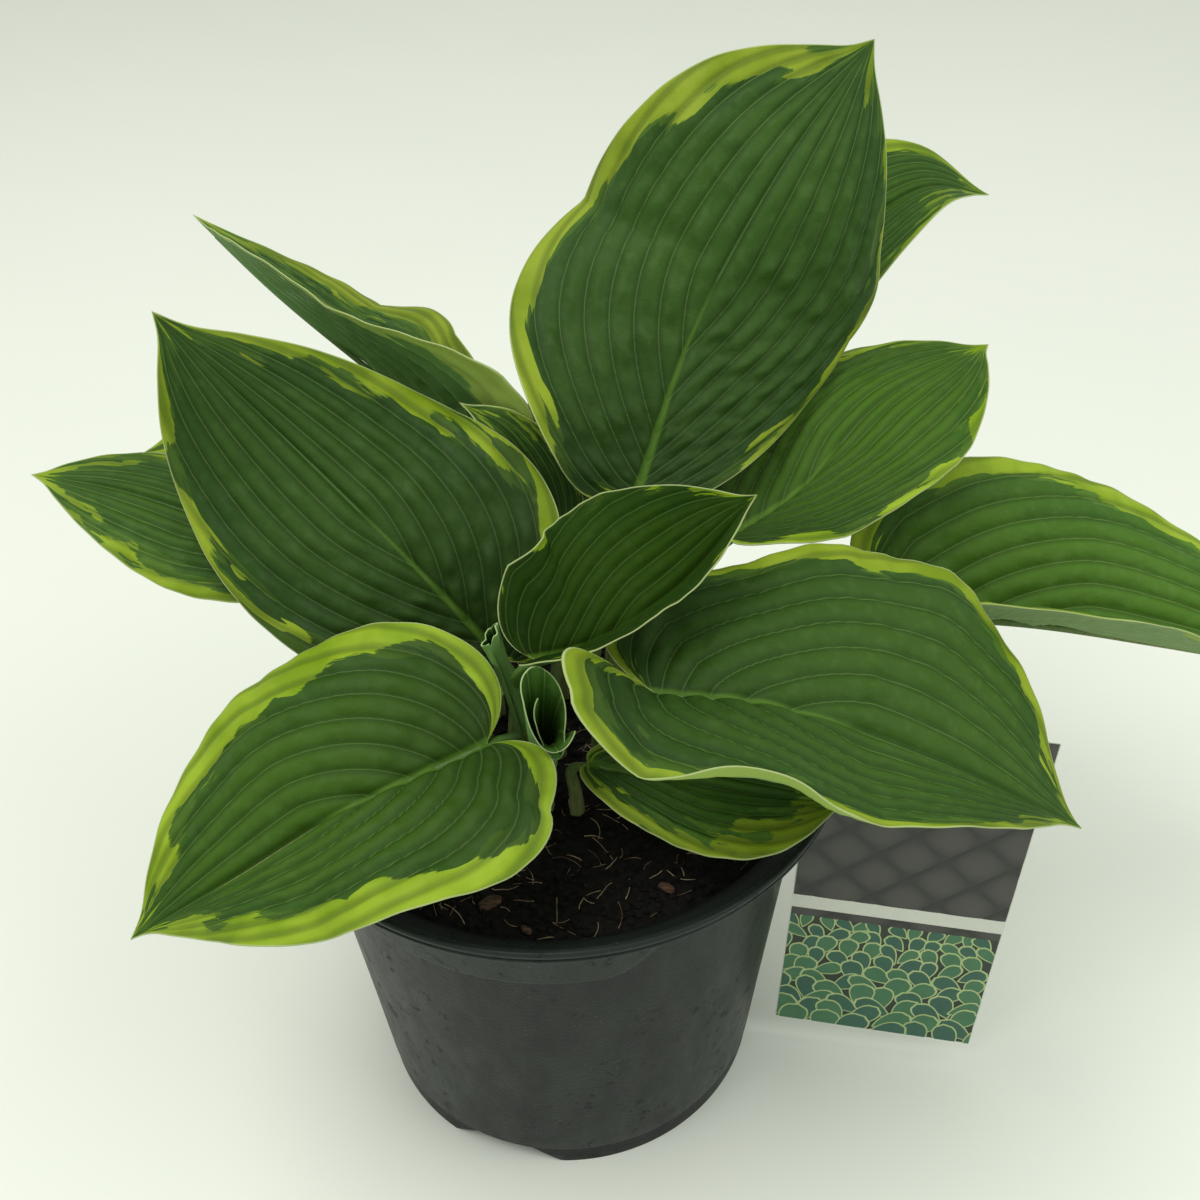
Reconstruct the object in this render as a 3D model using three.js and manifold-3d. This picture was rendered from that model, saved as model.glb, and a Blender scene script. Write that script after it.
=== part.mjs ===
// A variegated hosta in a round nursery pot, with its plant label.
// Millimetres, +Z up. The origin is the middle of the pot's underside, on the
// ground, and the front of the plant looks along -Y.

import * as THREE from "three";
import { mergeVertices } from "three/addons/utils/BufferGeometryUtils.js";
import Module from "manifold-3d";

const wasm = await Module();
wasm.setup();

// Pot: outer radii and heights
const POT_HEIGHT = 152;
const RIM_RADIUS = 95;
const RIM_LOW = 147.6;
const WALL = 1.6;
const FOOT_RADIUS = 71.3;
const FOOT_HEIGHT = 9;
const WALL_FOOT_RADIUS = 72.3;
const WALL_TOP_RADIUS = 82.3;
const COLLAR_LOW = 122.5;
const COLLAR_STEP = 1.4;
const COLLAR_TOP_RADIUS = 85.6;
const COLLAR_TOP = 143.2;
const FLOOR_UNDERSIDE = 8;
const FLOOR_THICK = 2;
const FOOT_WALL = 2.4;
const PAD_RADIUS = 20;
const POT_SEGMENTS = 44;

// Drainage notches in the foot: middle angles, widths at ground and roof
const NOTCH_ANGLES = [-109, 11, 131];
const NOTCH_WIDTH = 43;
const NOTCH_ROOF_WIDTH = 21;
const NOTCH_HEIGHT = 7.6;
const NOTCH_CUT_START = 60;
const NOTCH_CUT_DEPTH = 16;

// Soil
const SOIL_EDGE = 137.6;
const SOIL_RISE = 2.2;
const SOIL_BUMP = 0.9;
const CLEAR = 0.35;
const HOLE_CLEAR = 0.35;
const STEM_FOOT = 125;
const STEM_NECK = 142;
const STEM_BOW = 0.5;
const STEM_ARRIVAL = 0.22;
const STEM_SHORT_OF_JOINT = 5;
const STEM_TAPER = 0.62;
const HOLE_CUT_HEIGHT = 40;

// Leaves
const BLADE_THICK = 0.8;
const HALF_COLUMNS = 4;
const ROWS = 12;
const PLEAT = 0.45;
const STEM_SIDES = 7;
const WIDEST_PLACE = 0.3;
const ROW_SPREAD = 1.35;
const RIB_KEEL_END = 0.6;
const ROLL_SIDES = 30;
const ROLL_LEVELS = 6;

// Label: an upright card in a vertical plane close to the pot's axis
const LABEL_TURN = -10.6;
const LABEL_SPIN = 1.1;
const LABEL_OFFSET = -5;
const LABEL_LEFT = 85;
const LABEL_RIGHT = 158.5;
const LABEL_LOW = 10.5;
const LABEL_HIGH = 170;
const LABEL_THICK = 0.8;
const LABEL_TOOTH = 76;
const LABEL_TOOTH_LOW = 141.5;

const rad = THREE.MathUtils.degToRad;

// Half outline of a heart-based blade, from the stem round the lobe to the tip:
// [share of the blade's length, share of the half's width]
const OUTLINE = new THREE.CatmullRomCurve3([
  [0, 0], [-0.055, 0.12], [-0.085, 0.3], [-0.06, 0.55], [0.03, 0.8], [0.16, 0.95], [0.3, 1],
  [0.47, 0.955], [0.63, 0.8], [0.77, 0.565], [0.88, 0.3], [0.95, 0.11], [1, 0],
].map(([x, y]) => new THREE.Vector3(x, y, 0)), false, "centripetal");

// Each leaf: where its stem stands in the soil, the stem's radius, its rib from
// the blade's base to its tip, where the upper face looks, and its two halves as
// seen with the tip ahead. belly: where the half is widest. heart: pulls the base
// lobe forward, or back below zero. lift: how steeply the lobe rises behind the
// stem. rise and curl: degrees at the base, the middle and the tip. wave: the
// edge's swing in mm, its cycles and its phase.
const LEAVES = {
  leaf_tall_back: {
    root: [11, 13], stem: 3.2,
    rib: [[29, 38, 217], [48, 66, 259], [75, 85, 303], [107, 116, 334]],
    face: [0.05, -0.7, 0.62],
    left: {
      width: 62, belly: 0.32, heart: 0.14, rise: [20, 5, 26], curl: [28, -62, -33],
      wave: [2, 3, 0.4],
    },
    right: {
      width: 62, belly: 0.38, heart: 0.35, rise: [21, -20, -15], curl: [-50, -30, -50],
      wave: [2, 2.5, 1.2],
    },
  },
  leaf_upper_right_rear: {
    root: [19, 22], stem: 2.8,
    rib: [[45, 93, 199], [86, 118, 246], [134, 144, 274], [167, 164, 264]],
    face: [0.1, -0.4, 0.9],
    left: { width: 38, rise: [25, 25, 25], wave: [1.5, 2, 0] },
    right: { width: 24, rise: [20, 20, 20], curl: [-30, -30, -30] },
  },
  leaf_right_rear: {
    root: [23, 7], stem: 2.8,
    rib: [[59, 31, 203], [84, 47, 211], [112, 68, 231], [152, 89, 240]],
    face: [-0.05, -0.2, 0.93],
    left: { width: 39, belly: 0.31, rise: [6, 3, 2], curl: [-25, -18, -27], wave: [1.2, 2.5, 0] },
    right: {
      width: 37, belly: 0.47, heart: 0.3, rise: [22, 10, 9], curl: [-22, -24, -22],
      wave: [1.5, 2, 2],
    },
  },
  leaf_right: {
    root: [25, -6], stem: 3,
    rib: [[114, 24, 176], [161, 21, 172], [210, 24, 158], [268, 23, 143]],
    face: [0, -0.3, 1],
    left: {
      width: 58, belly: 0.38, heart: -0.05, rise: [45, 37, 25], curl: [-12, -43, -42],
      wave: [1.5, 2.5, 0],
    },
    right: {
      width: 40, belly: 0.31, heart: 0.1, rise: [65, 64, 46], curl: [-12, -10, -18],
      wave: [1, 2, 0],
    },
  },
  leaf_front_right: {
    root: [15, -19], stem: 3.2,
    rib: [[30, -47, 205], [62, -51, 204], [113, -55, 183], [157, -57, 156]],
    face: [0.15, -0.1, 1],
    left: {
      width: 63, belly: 0.5, heart: -0.1, rise: [12, 27, 0], curl: [-35, -20, 40],
      wave: [2, 3.5, 1],
    },
    right: {
      width: 44, belly: 0.2, heart: -0.18, lift: 1, rise: [46, -11, 28],
      curl: [-65, 48, 15], wave: [1.5, 2, 0],
    },
  },
  leaf_centre_young: {
    root: [1, -5], stem: 2.6,
    rib: [[-3, -35, 208], [14, -32, 211.5], [38, -21, 222], [60, -16, 250]],
    face: [-0.2, -0.4, 0.82],
    left: { width: 38, belly: 0.4, rise: [20, 14, 15], curl: [12, 2, -5], wave: [1, 2, 0.5] },
    right: {
      width: 19, belly: 0.31, heart: 0.1, rise: [65, 65, 40], curl: [-22, -17, -22],
      wave: [0.6, 2, 0],
    },
  },
  leaf_front_left: {
    root: [-13, -20], stem: 3.2,
    rib: [[-18, -45, 185], [-57, -60, 176], [-94, -64, 151], [-128, -69, 130]],
    face: [-0.3, -0.38, 0.8],
    left: {
      width: 45, belly: 0.17, heart: -0.08, rise: [28, 20, 40], curl: [-38, -6, -2],
      wave: [2, 3, 2.6],
    },
    right: {
      width: 54, belly: 0.31, rise: [26, 34, 10], curl: [-32, -58, 20],
      wave: [1.5, 2.5, 0],
    },
  },
  leaf_left: {
    root: [-13, -7], stem: 3,
    rib: [[-15, 0, 178], [-45, 11, 213], [-81, 30, 246], [-114, 39, 283]],
    face: [-0.1, -0.63, 0.71],
    left: {
      width: 47, belly: 0.39, heart: 0.13, rise: [18, 10, -3], curl: [-25, -24, -50],
      wave: [1.8, 3, 3.1],
    },
    right: {
      width: 50, belly: 0.21, heart: 0.14, rise: [19, -4, 0], curl: [-12, -29, -56],
      wave: [1.8, 3, 1],
    },
  },
  leaf_upper_left_folded: {
    root: [-9, 19], stem: 2.6,
    rib: [[-28, 69, 219], [-61, 84, 241], [-92, 100, 261], [-124, 129, 277]],
    face: [0.1, 0, 1],
    left: {
      width: 40, belly: 0.2, heart: -0.17, rise: [70, 62, 53], curl: [10, -28, -3],
      wave: [0.8, 2, 0],
    },
    right: {
      width: 38, belly: 0.16, heart: 0.28, rise: [57, -1, 10], curl: [18, -15, -50],
      wave: [1, 2, 1],
    },
  },
  leaf_far_left: {
    root: [-24, 3], stem: 2.6,
    rib: [[-72, 20, 204], [-103, 28, 214], [-137, 36, 223], [-166, 40, 227]],
    face: [-0.08, -0.3, 0.93],
    left: {
      width: 27, belly: 0.34, heart: 0.1, rise: [5, 5, 8], curl: [-22, -22, -28],
      wave: [1, 2, 0],
    },
    right: { width: 23, belly: 0.35, rise: [12, 5, 11], curl: [-25, -32, -35], wave: [1, 2, 1] },
  },
  leaf_left_rear: {
    root: [-20, 15], stem: 2.4,
    rib: [[-40, 60, 190], [-80, 74, 212], [-115, 82, 216], [-148, 88, 205]],
    face: [0, -0.3, 0.9],
    left: { width: 24, wave: [1, 2, 0] },
    right: { width: 24, wave: [1, 2, 1] },
  },
  leaf_inner_left: {
    root: [-1, 9], stem: 2.2,
    rib: [[4, 30, 187], [-1, 38, 214], [-13, 46, 235], [-28, 52, 243]],
    face: [0.2, -0.6, 0.7],
    left: { width: 12, heart: 0.2, rise: [20, 20, 20], wave: [1, 2, 0] },
    right: { width: 13, heart: 0.3, rise: [20, 20, 20], wave: [1, 2, 1] },
  },
  leaf_inner_back: {
    root: [2, 24], stem: 2.2,
    rib: [[2, 56, 188], [2, 64, 210], [-1, 70, 226], [-7, 76, 235]],
    face: [0, -0.8, 0.5],
    left: { width: 16, rise: [30, 30, 30] },
    right: { width: 16, rise: [30, 30, 30] },
  },
  leaf_low_front: {
    root: [7, -30], stem: 2.4,
    rib: [[11, -37, 168], [32, -43, 168], [59, -49, 166], [88, -52, 164]],
    face: [0.05, -0.2, 1],
    left: { width: 22, belly: 0.4, heart: 0.35, wave: [1, 2, 0] },
    right: { width: 24, belly: 0.42, heart: 0.3, wave: [1, 2, 1] },
  },
};

// Rolled young leaves: the axis from its stem to its mouth, the roll's radii at
// the foot and the mouth, where the roll starts, and the mouth's slant
const ROLLS = {
  furled_leaf_front: {
    root: [-3, -28], stem: 2.8, axis: [[-3, -29, 152], [-2, -36, 176], [0.5, -48.5, 204.5]],
    radii: [3.6, 8.4], start: -200, turn: 540, tight: 0.36, slant: [12, 120], drop: 9,
  },
  furled_leaf_inner: {
    root: [-8, -14], stem: 1.8,
    axis: [[-8, -14, 152], [-12.5, -18.5, 185], [-15.5, -29.5, 214]],
    radii: [2.3, 2.8], start: -120, turn: 380, tight: 0.45, slant: [3.5, 20], drop: 2,
  },
};

// Geometry helpers

function geometryOf(points, triangles) {
  const geometry = new THREE.BufferGeometry();
  const flat = points.flatMap((p) => [p.x, p.y, p.z]);
  geometry.setAttribute("position", new THREE.Float32BufferAttribute(flat, 3));
  geometry.setIndex(triangles.flat());
  return geometry;
}

function volumeOf(points, triangles) {
  let sum = 0;
  for (const [a, b, c] of triangles) {
    sum += points[a].dot(new THREE.Vector3().crossVectors(points[b], points[c]));
  }
  return sum / 6;
}

function facingOut(points, triangles) {
  const flip = volumeOf(points, triangles) < 0;
  return geometryOf(points, flip ? triangles.map(([a, b, c]) => [a, c, b]) : triangles);
}

function solidOf(geometry) {
  const bare = geometry.clone();
  bare.deleteAttribute("normal");
  bare.deleteAttribute("uv");
  const merged = mergeVertices(bare, 1e-4);
  return new wasm.Manifold(new wasm.Mesh({
    numProp: 3,
    vertProperties: new Float32Array(merged.attributes.position.array),
    triVerts: new Uint32Array(merged.index.array),
  }));
}

function geometryOfSolid(solid) {
  const mesh = solid.getMesh();
  const geometry = new THREE.BufferGeometry();
  geometry.setAttribute("position", new THREE.BufferAttribute(mesh.vertProperties, 3));
  geometry.setIndex(new THREE.BufferAttribute(mesh.triVerts, 1));
  geometry.computeVertexNormals();
  return geometry;
}

// A closed profile of [radius, height] turned round the upright axis
function turned(profile) {
  const outline = profile.map(([radius, height]) => new THREE.Vector2(radius, height));
  const lathe = new THREE.LatheGeometry(outline, POT_SEGMENTS);
  lathe.rotateX(Math.PI / 2);
  lathe.deleteAttribute("normal");
  lathe.deleteAttribute("uv");
  return mergeVertices(lathe, 1e-4);
}

// A tube through the given points, with a radius at each and flat ends
function tube(path, radii, sides) {
  const points = [];
  const triangles = [];
  let across = new THREE.Vector3(1, 0, 0);
  path.forEach((centre, i) => {
    const ahead = path[Math.min(i + 1, path.length - 1)].clone();
    const tangent = ahead.sub(path[Math.max(i - 1, 0)]).normalize();
    across = across.clone().addScaledVector(tangent, -across.dot(tangent)).normalize();
    const up = new THREE.Vector3().crossVectors(tangent, across);
    for (let k = 0; k < sides; k += 1) {
      const angle = (2 * Math.PI * k) / sides;
      points.push(centre.clone()
        .addScaledVector(across, radii[i] * Math.cos(angle))
        .addScaledVector(up, radii[i] * Math.sin(angle)));
    }
  });
  for (let i = 0; i + 1 < path.length; i += 1) {
    for (let k = 0; k < sides; k += 1) {
      const here = i * sides;
      const next = (k + 1) % sides;
      triangles.push([here + k, here + next, here + sides + next]);
      triangles.push([here + k, here + sides + next, here + sides + k]);
    }
  }
  const start = points.push(path[0].clone()) - 1;
  const end = points.push(path.at(-1).clone()) - 1;
  const lastRing = (path.length - 1) * sides;
  for (let k = 0; k < sides; k += 1) {
    const next = (k + 1) % sides;
    triangles.push([start, next, k]);
    triangles.push([end, lastRing + k, lastRing + next]);
  }
  return facingOut(points, triangles);
}

// A sheet given a thickness: both faces keep the same triangles, and a band
// closes the open edge
function thicken(points, triangles, border, thickness) {
  const normals = points.map(() => new THREE.Vector3());
  for (const [a, b, c] of triangles) {
    const face = new THREE.Vector3().crossVectors(
      points[b].clone().sub(points[a]), points[c].clone().sub(points[a]));
    [a, b, c].forEach((i) => normals[i].add(face));
  }
  const shifted = (share) => points.map((p, i) => (
    p.clone().addScaledVector(normals[i].clone().normalize(), share * thickness)));
  const all = [...shifted(0.5), ...shifted(-0.5)];
  const back = points.length;
  const faces = [];
  for (const [a, b, c] of triangles) {
    faces.push([a, b, c], [back + a, back + c, back + b]);
  }
  border.forEach((a, i) => {
    const b = border[(i + 1) % border.length];
    faces.push([a, back + a, back + b], [a, back + b, b]);
  });
  return facingOut(all, faces);
}

// Leaf blades

function ribFrames(leaf) {
  const points = leaf.rib.map((p) => new THREE.Vector3(...p));
  const curve = new THREE.CatmullRomCurve3(points, false, "centripetal");
  const length = curve.getLength();
  const face = new THREE.Vector3(...leaf.face);
  return {
    length,
    at(share) {
      const along = THREE.MathUtils.clamp(share, 0, 1);
      const point = curve.getPointAt(along);
      const tangent = curve.getTangentAt(along);
      const normal = face.clone().addScaledVector(tangent, -face.dot(tangent)).normalize();
      const across = new THREE.Vector3().crossVectors(tangent, normal);
      point.addScaledVector(tangent, Math.min(share, 0) * length);
      return { point, tangent, normal, across };
    },
  };
}

function threeWay([base, middle, tip], share) {
  const halfway = 0.45;
  if (share < halfway) return THREE.MathUtils.lerp(base, middle, share / halfway);
  return THREE.MathUtils.lerp(middle, tip, (share - halfway) / (1 - halfway));
}

// A point of the blade: u runs from the rib to the edge, v from base to tip
function bladePoint(leaf, frames, sideName, u, v) {
  const half = { belly: WIDEST_PLACE, heart: 0, lift: 0, rise: [12, 12, 12], curl: [-25, -25, -25],
    wave: [0, 1, 0], ...leaf[sideName] };
  const outline = OUTLINE.getPointAt(v);
  let ahead = outline.x;
  if (ahead > 0) ahead **= Math.log(half.belly) / Math.log(WIDEST_PLACE);
  const forward = (1 - Math.max(ahead, 0)) ** 2;
  const edgeAhead = ahead + half.heart * outline.y * forward;
  const share = v ** ROW_SPREAD * (1 - u) + edgeAhead * u;
  const { point, normal, across } = frames.at(share);
  const inside = THREE.MathUtils.clamp(share, 0, 1);
  const rise = rad(threeWay(half.rise, inside));
  const bend = rad(threeWay(half.curl, inside)) / half.width;
  const out = outline.y * u * half.width;
  let sideways = out * Math.cos(rise);
  let up = out * Math.sin(rise);
  if (Math.abs(bend) > 1e-6) {
    sideways = (Math.sin(rise + bend * out) - Math.sin(rise)) / bend;
    up = (Math.cos(rise) - Math.cos(rise + bend * out)) / bend;
  }
  const [swing, cycles, phase] = half.wave;
  const fade = Math.sqrt(Math.sin(Math.PI * v));
  up += swing * u * u * fade * Math.sin(2 * Math.PI * cycles * edgeAhead + phase);
  up += half.lift * Math.max(-share, 0) * frames.length;
  const sign = sideName === "left" ? -1 : 1;
  return point.addScaledVector(across, sign * sideways).addScaledVector(normal, up);
}

// The blade as a grid of columns from edge to edge, pleated along its veins
function blade(leaf, frames) {
  const points = [frames.at(0).point, frames.at(1).point];
  const columns = 2 * HALF_COLUMNS + 1;
  const index = (column, row) => 2 + (row - 1) * columns + column;
  for (let row = 1; row < ROWS; row += 1) {
    for (let column = 0; column < columns; column += 1) {
      const side = column < HALF_COLUMNS ? "left" : "right";
      const u = Math.abs(column - HALF_COLUMNS) / HALF_COLUMNS;
      const v = row / ROWS;
      const point = bladePoint(leaf, frames, side, u, v);
      const inner = u > 0 && u < 1;
      const pleat = inner ? (Math.abs(column - HALF_COLUMNS) % 2 ? PLEAT : -PLEAT) : 0;
      point.addScaledVector(frames.at(v ** ROW_SPREAD).normal, pleat * Math.sin(Math.PI * v));
      points.push(point);
    }
  }
  const triangles = [];
  for (let column = 0; column + 1 < columns; column += 1) {
    triangles.push([0, index(column, 1), index(column + 1, 1)]);
    triangles.push([1, index(column + 1, ROWS - 1), index(column, ROWS - 1)]);
    for (let row = 1; row + 1 < ROWS; row += 1) {
      const [a, b] = [index(column, row), index(column + 1, row)];
      const [c, d] = [index(column + 1, row + 1), index(column, row + 1)];
      if (column < HALF_COLUMNS) triangles.push([a, d, c], [a, c, b]);
      else triangles.push([a, d, b], [b, d, c]);
    }
  }
  const border = [0];
  for (let row = 1; row < ROWS; row += 1) border.push(index(0, row));
  border.push(1);
  for (let row = ROWS - 1; row > 0; row -= 1) border.push(index(columns - 1, row));
  return solidOf(thicken(points, triangles, border, BLADE_THICK));
}

// The stem stands upright in its hole, then arcs over to meet the blade's base
function stemPath([rootX, rootY], joint, tangent) {
  const neck = new THREE.Vector3(rootX, rootY, STEM_NECK);
  const arrival = joint.clone().sub(neck).normalize().add(tangent).normalize();
  const end = joint.clone().addScaledVector(arrival, -STEM_SHORT_OF_JOINT);
  const reach = neck.distanceTo(end);
  return new THREE.CubicBezierCurve3(
    neck,
    neck.clone().setZ(STEM_NECK + STEM_BOW * reach),
    end.clone().addScaledVector(arrival, -STEM_ARRIVAL * reach),
    end,
  );
}

function stemAndRib(leaf, frames) {
  const joint = frames.at(0);
  const curve = stemPath(leaf.root, joint.point, joint.tangent);
  const steps = 7;
  const path = [new THREE.Vector3(...leaf.root, STEM_FOOT)];
  const radii = [leaf.stem];
  for (let i = 0; i < steps; i += 1) {
    path.push(curve.getPointAt(i / (steps - 1)));
    radii.push(THREE.MathUtils.lerp(leaf.stem, leaf.stem * STEM_TAPER, i / (steps - 1)));
  }
  const ribSteps = 4;
  for (let i = 0; i <= ribSteps; i += 1) {
    const share = (RIB_KEEL_END * i) / ribSteps;
    const radius = THREE.MathUtils.lerp(leaf.stem * 0.6, 0.7, i / ribSteps);
    const frame = frames.at(share + 0.02);
    path.push(frame.point.addScaledVector(frame.normal, -0.62 * radius));
    radii.push(radius);
  }
  return solidOf(tube(path, radii, STEM_SIDES));
}

function leafGeometry(leaf) {
  const frames = ribFrames(leaf);
  return geometryOfSolid(blade(leaf, frames).add(stemAndRib(leaf, frames)));
}

// A young leaf rolled round itself, with a slanted open mouth
function rollGeometry(roll) {
  const around = ROLL_SIDES;
  const levels = ROLL_LEVELS;
  const axis = new THREE.CatmullRomCurve3(
    roll.axis.map((p) => new THREE.Vector3(...p)), false, "centripetal");
  const points = [];
  const [slant, high] = roll.slant;
  for (let level = 0; level <= levels; level += 1) {
    for (let k = 0; k <= around; k += 1) {
      const turned = (roll.turn * k) / around;
      const angle = rad(roll.start + turned);
      const share = level / levels;
      const centre = axis.getPointAt(share);
      const opening = roll.tight + ((1 - roll.tight) * turned) / roll.turn;
      const radius = THREE.MathUtils.lerp(roll.radii[0], roll.radii[1], share ** 1.4) * opening;
      const lean = slant * Math.cos(angle - rad(high)) * share ** 3;
      const lip = -roll.drop * share ** 4 * (1 - turned / roll.turn);
      points.push(centre.add(new THREE.Vector3(
        radius * Math.cos(angle), radius * Math.sin(angle), lean + lip)));
    }
  }
  const row = around + 1;
  const triangles = [];
  for (let level = 0; level < levels; level += 1) {
    for (let k = 0; k < around; k += 1) {
      const a = level * row + k;
      triangles.push([a, a + 1, a + row + 1], [a, a + row + 1, a + row]);
    }
  }
  const border = [];
  for (let k = 0; k < around; k += 1) border.push(k);
  for (let level = 0; level < levels; level += 1) border.push(level * row + around);
  for (let k = around; k > 0; k -= 1) border.push(levels * row + k);
  for (let level = levels; level > 0; level -= 1) border.push(level * row);
  const sheet = solidOf(thicken(points, triangles, border, BLADE_THICK));
  const [x, y] = roll.root;
  const foot = [
    new THREE.Vector3(x, y, STEM_FOOT),
    new THREE.Vector3(x, y, STEM_NECK),
    axis.getPointAt(0.04),
    axis.getPointAt(0.16),
  ];
  const stem = solidOf(tube(foot, [roll.stem, roll.stem, roll.radii[0], roll.radii[0]], STEM_SIDES));
  return geometryOfSolid(sheet.add(stem));
}

// Pot

// The profile runs from the axis along the outside to the rim and back inside
function potProfile() {
  const floorTop = FLOOR_UNDERSIDE + FLOOR_THICK;
  return [
    [0, 0], [PAD_RADIUS, 0], [PAD_RADIUS + 8, FLOOR_UNDERSIDE],
    [FOOT_RADIUS - FOOT_WALL, FLOOR_UNDERSIDE], [FOOT_RADIUS - FOOT_WALL, 0], [FOOT_RADIUS, 0],
    [FOOT_RADIUS, FOOT_HEIGHT], [WALL_FOOT_RADIUS, FOOT_HEIGHT + 0.6],
    [WALL_TOP_RADIUS, COLLAR_LOW], [WALL_TOP_RADIUS + COLLAR_STEP, COLLAR_LOW + 0.8],
    [COLLAR_TOP_RADIUS, COLLAR_TOP], [RIM_RADIUS - 1.4, RIM_LOW],
    [RIM_RADIUS, RIM_LOW + 0.8], [RIM_RADIUS, POT_HEIGHT - 1], [RIM_RADIUS - 0.9, POT_HEIGHT],
    [RIM_RADIUS - 2.2, POT_HEIGHT], [RIM_RADIUS - 3, POT_HEIGHT - 1.2],
    [COLLAR_TOP_RADIUS - WALL, COLLAR_TOP + 1.4],
    [WALL_TOP_RADIUS - WALL, COLLAR_LOW], [WALL_FOOT_RADIUS - WALL, floorTop],
    [PAD_RADIUS + 7, floorTop], [PAD_RADIUS - 1, FLOOR_THICK], [0, FLOOR_THICK],
  ];
}

function notchSolid(angle) {
  const half = NOTCH_WIDTH / 2;
  const roof = NOTCH_ROOF_WIDTH / 2;
  const shape = new THREE.Shape([
    new THREE.Vector2(-half, -2), new THREE.Vector2(half, -2), new THREE.Vector2(half, 0),
    new THREE.Vector2(roof, NOTCH_HEIGHT), new THREE.Vector2(-roof, NOTCH_HEIGHT),
    new THREE.Vector2(-half, 0),
  ]);
  const cutter = new THREE.ExtrudeGeometry(shape, { depth: NOTCH_CUT_DEPTH, bevelEnabled: false });
  cutter.rotateX(Math.PI / 2);
  cutter.rotateZ(Math.PI / 2);
  cutter.translate(NOTCH_CUT_START, 0, 0);
  cutter.rotateZ(rad(angle));
  return solidOf(cutter);
}

function potGeometry() {
  let pot = solidOf(turned(potProfile()));
  for (const angle of NOTCH_ANGLES) pot = pot.subtract(notchSolid(angle));
  return geometryOfSolid(pot);
}

// Soil

function soilProfile() {
  const floorTop = FLOOR_UNDERSIDE + FLOOR_THICK + CLEAR;
  const collarShare = (SOIL_EDGE - COLLAR_LOW) / (COLLAR_TOP + 1.4 - COLLAR_LOW);
  const edgeRadius = THREE.MathUtils.lerp(
    WALL_TOP_RADIUS - WALL, COLLAR_TOP_RADIUS - WALL, collarShare) - CLEAR;
  const top = [0.9, 0.72, 0.5, 0.28].map((share) => (
    [edgeRadius * share, SOIL_EDGE + SOIL_RISE * (1 - share * share)]));
  return [
    [0, FLOOR_THICK + CLEAR], [PAD_RADIUS - 1.5, FLOOR_THICK + CLEAR],
    [PAD_RADIUS + 6.3, floorTop], [WALL_FOOT_RADIUS - WALL - CLEAR, floorTop],
    [WALL_TOP_RADIUS - WALL - CLEAR, COLLAR_LOW], [edgeRadius, SOIL_EDGE],
    ...top, [0, SOIL_EDGE + SOIL_RISE],
  ];
}

function stemHole([x, y], radius) {
  const depth = HOLE_CUT_HEIGHT;
  const flatToCorner = 1 / Math.cos(Math.PI / STEM_SIDES);
  const hole = new THREE.CylinderGeometry(
    (radius + HOLE_CLEAR) * flatToCorner, (radius + HOLE_CLEAR) * flatToCorner, depth, STEM_SIDES);
  hole.rotateX(Math.PI / 2);
  hole.translate(x, y, STEM_FOOT - HOLE_CLEAR + depth / 2);
  return solidOf(hole);
}

function soilGeometry() {
  const heap = turned(soilProfile());
  const { position } = heap.attributes;
  for (let i = 0; i < position.count; i += 1) {
    const [x, y, z] = [position.getX(i), position.getY(i), position.getZ(i)];
    const bump = SOIL_BUMP * Math.sin(0.11 * x + 1) * Math.cos(0.13 * y);
    if (z > SOIL_EDGE + 0.01) position.setZ(i, z + bump);
  }
  let soil = solidOf(heap);
  for (const { root, stem } of [...Object.values(LEAVES), ...Object.values(ROLLS)]) {
    soil = soil.subtract(stemHole(root, stem));
  }
  return geometryOfSolid(soil);
}

// Label: its left edge is stepped to grip the rim, with a tooth inside the pot

function labelGeometry() {
  const gap = 0.5;
  const outline = [
    [LABEL_LEFT, LABEL_LOW], [LABEL_RIGHT, LABEL_LOW], [LABEL_RIGHT, LABEL_HIGH],
    [LABEL_TOOTH, LABEL_HIGH], [LABEL_TOOTH, LABEL_TOOTH_LOW],
    [LABEL_TOOTH + 5, LABEL_TOOTH_LOW], [LABEL_TOOTH + 5, POT_HEIGHT + gap],
    [RIM_RADIUS + gap, POT_HEIGHT + gap], [RIM_RADIUS + gap, RIM_LOW - gap],
    [COLLAR_TOP_RADIUS + 1.2, COLLAR_TOP - 1.4], [COLLAR_TOP_RADIUS + 0.6, COLLAR_LOW - 1],
    [LABEL_LEFT, COLLAR_LOW - 3],
  ].map(([along, z]) => new THREE.Vector2(along, z));
  const card = new THREE.ExtrudeGeometry(new THREE.Shape(outline), {
    depth: LABEL_THICK, bevelEnabled: false,
  });
  card.translate(-RIM_RADIUS, -RIM_LOW, -LABEL_THICK / 2);
  card.rotateZ(-rad(LABEL_SPIN));
  card.translate(RIM_RADIUS, RIM_LOW, 0);
  card.rotateX(Math.PI / 2);
  card.translate(0, LABEL_OFFSET, 0);
  card.rotateZ(rad(LABEL_TURN));
  return card;
}

// Assembly

const upperGreen = { color: 0x3c5f2c, roughness: 0.55, metalness: 0 };
const darkPlastic = { color: 0x3c4240, roughness: 0.5, metalness: 0 };
const pottingMix = { color: 0x1d1814, roughness: 1, metalness: 0 };
const printedCard = { color: 0xc9cdbf, roughness: 0.35, metalness: 0 };

const group = new THREE.Group();

function place(name, geometry, finish) {
  const mesh = new THREE.Mesh(geometry, new THREE.MeshStandardMaterial(finish));
  mesh.name = name;
  group.add(mesh);
}

place("pot", potGeometry(), darkPlastic);
place("soil", soilGeometry(), pottingMix);
place("label", labelGeometry(), printedCard);
for (const [name, leaf] of Object.entries(LEAVES)) place(name, leafGeometry(leaf), upperGreen);
for (const [name, roll] of Object.entries(ROLLS)) place(name, rollGeometry(roll), upperGreen);

export default group;
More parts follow.
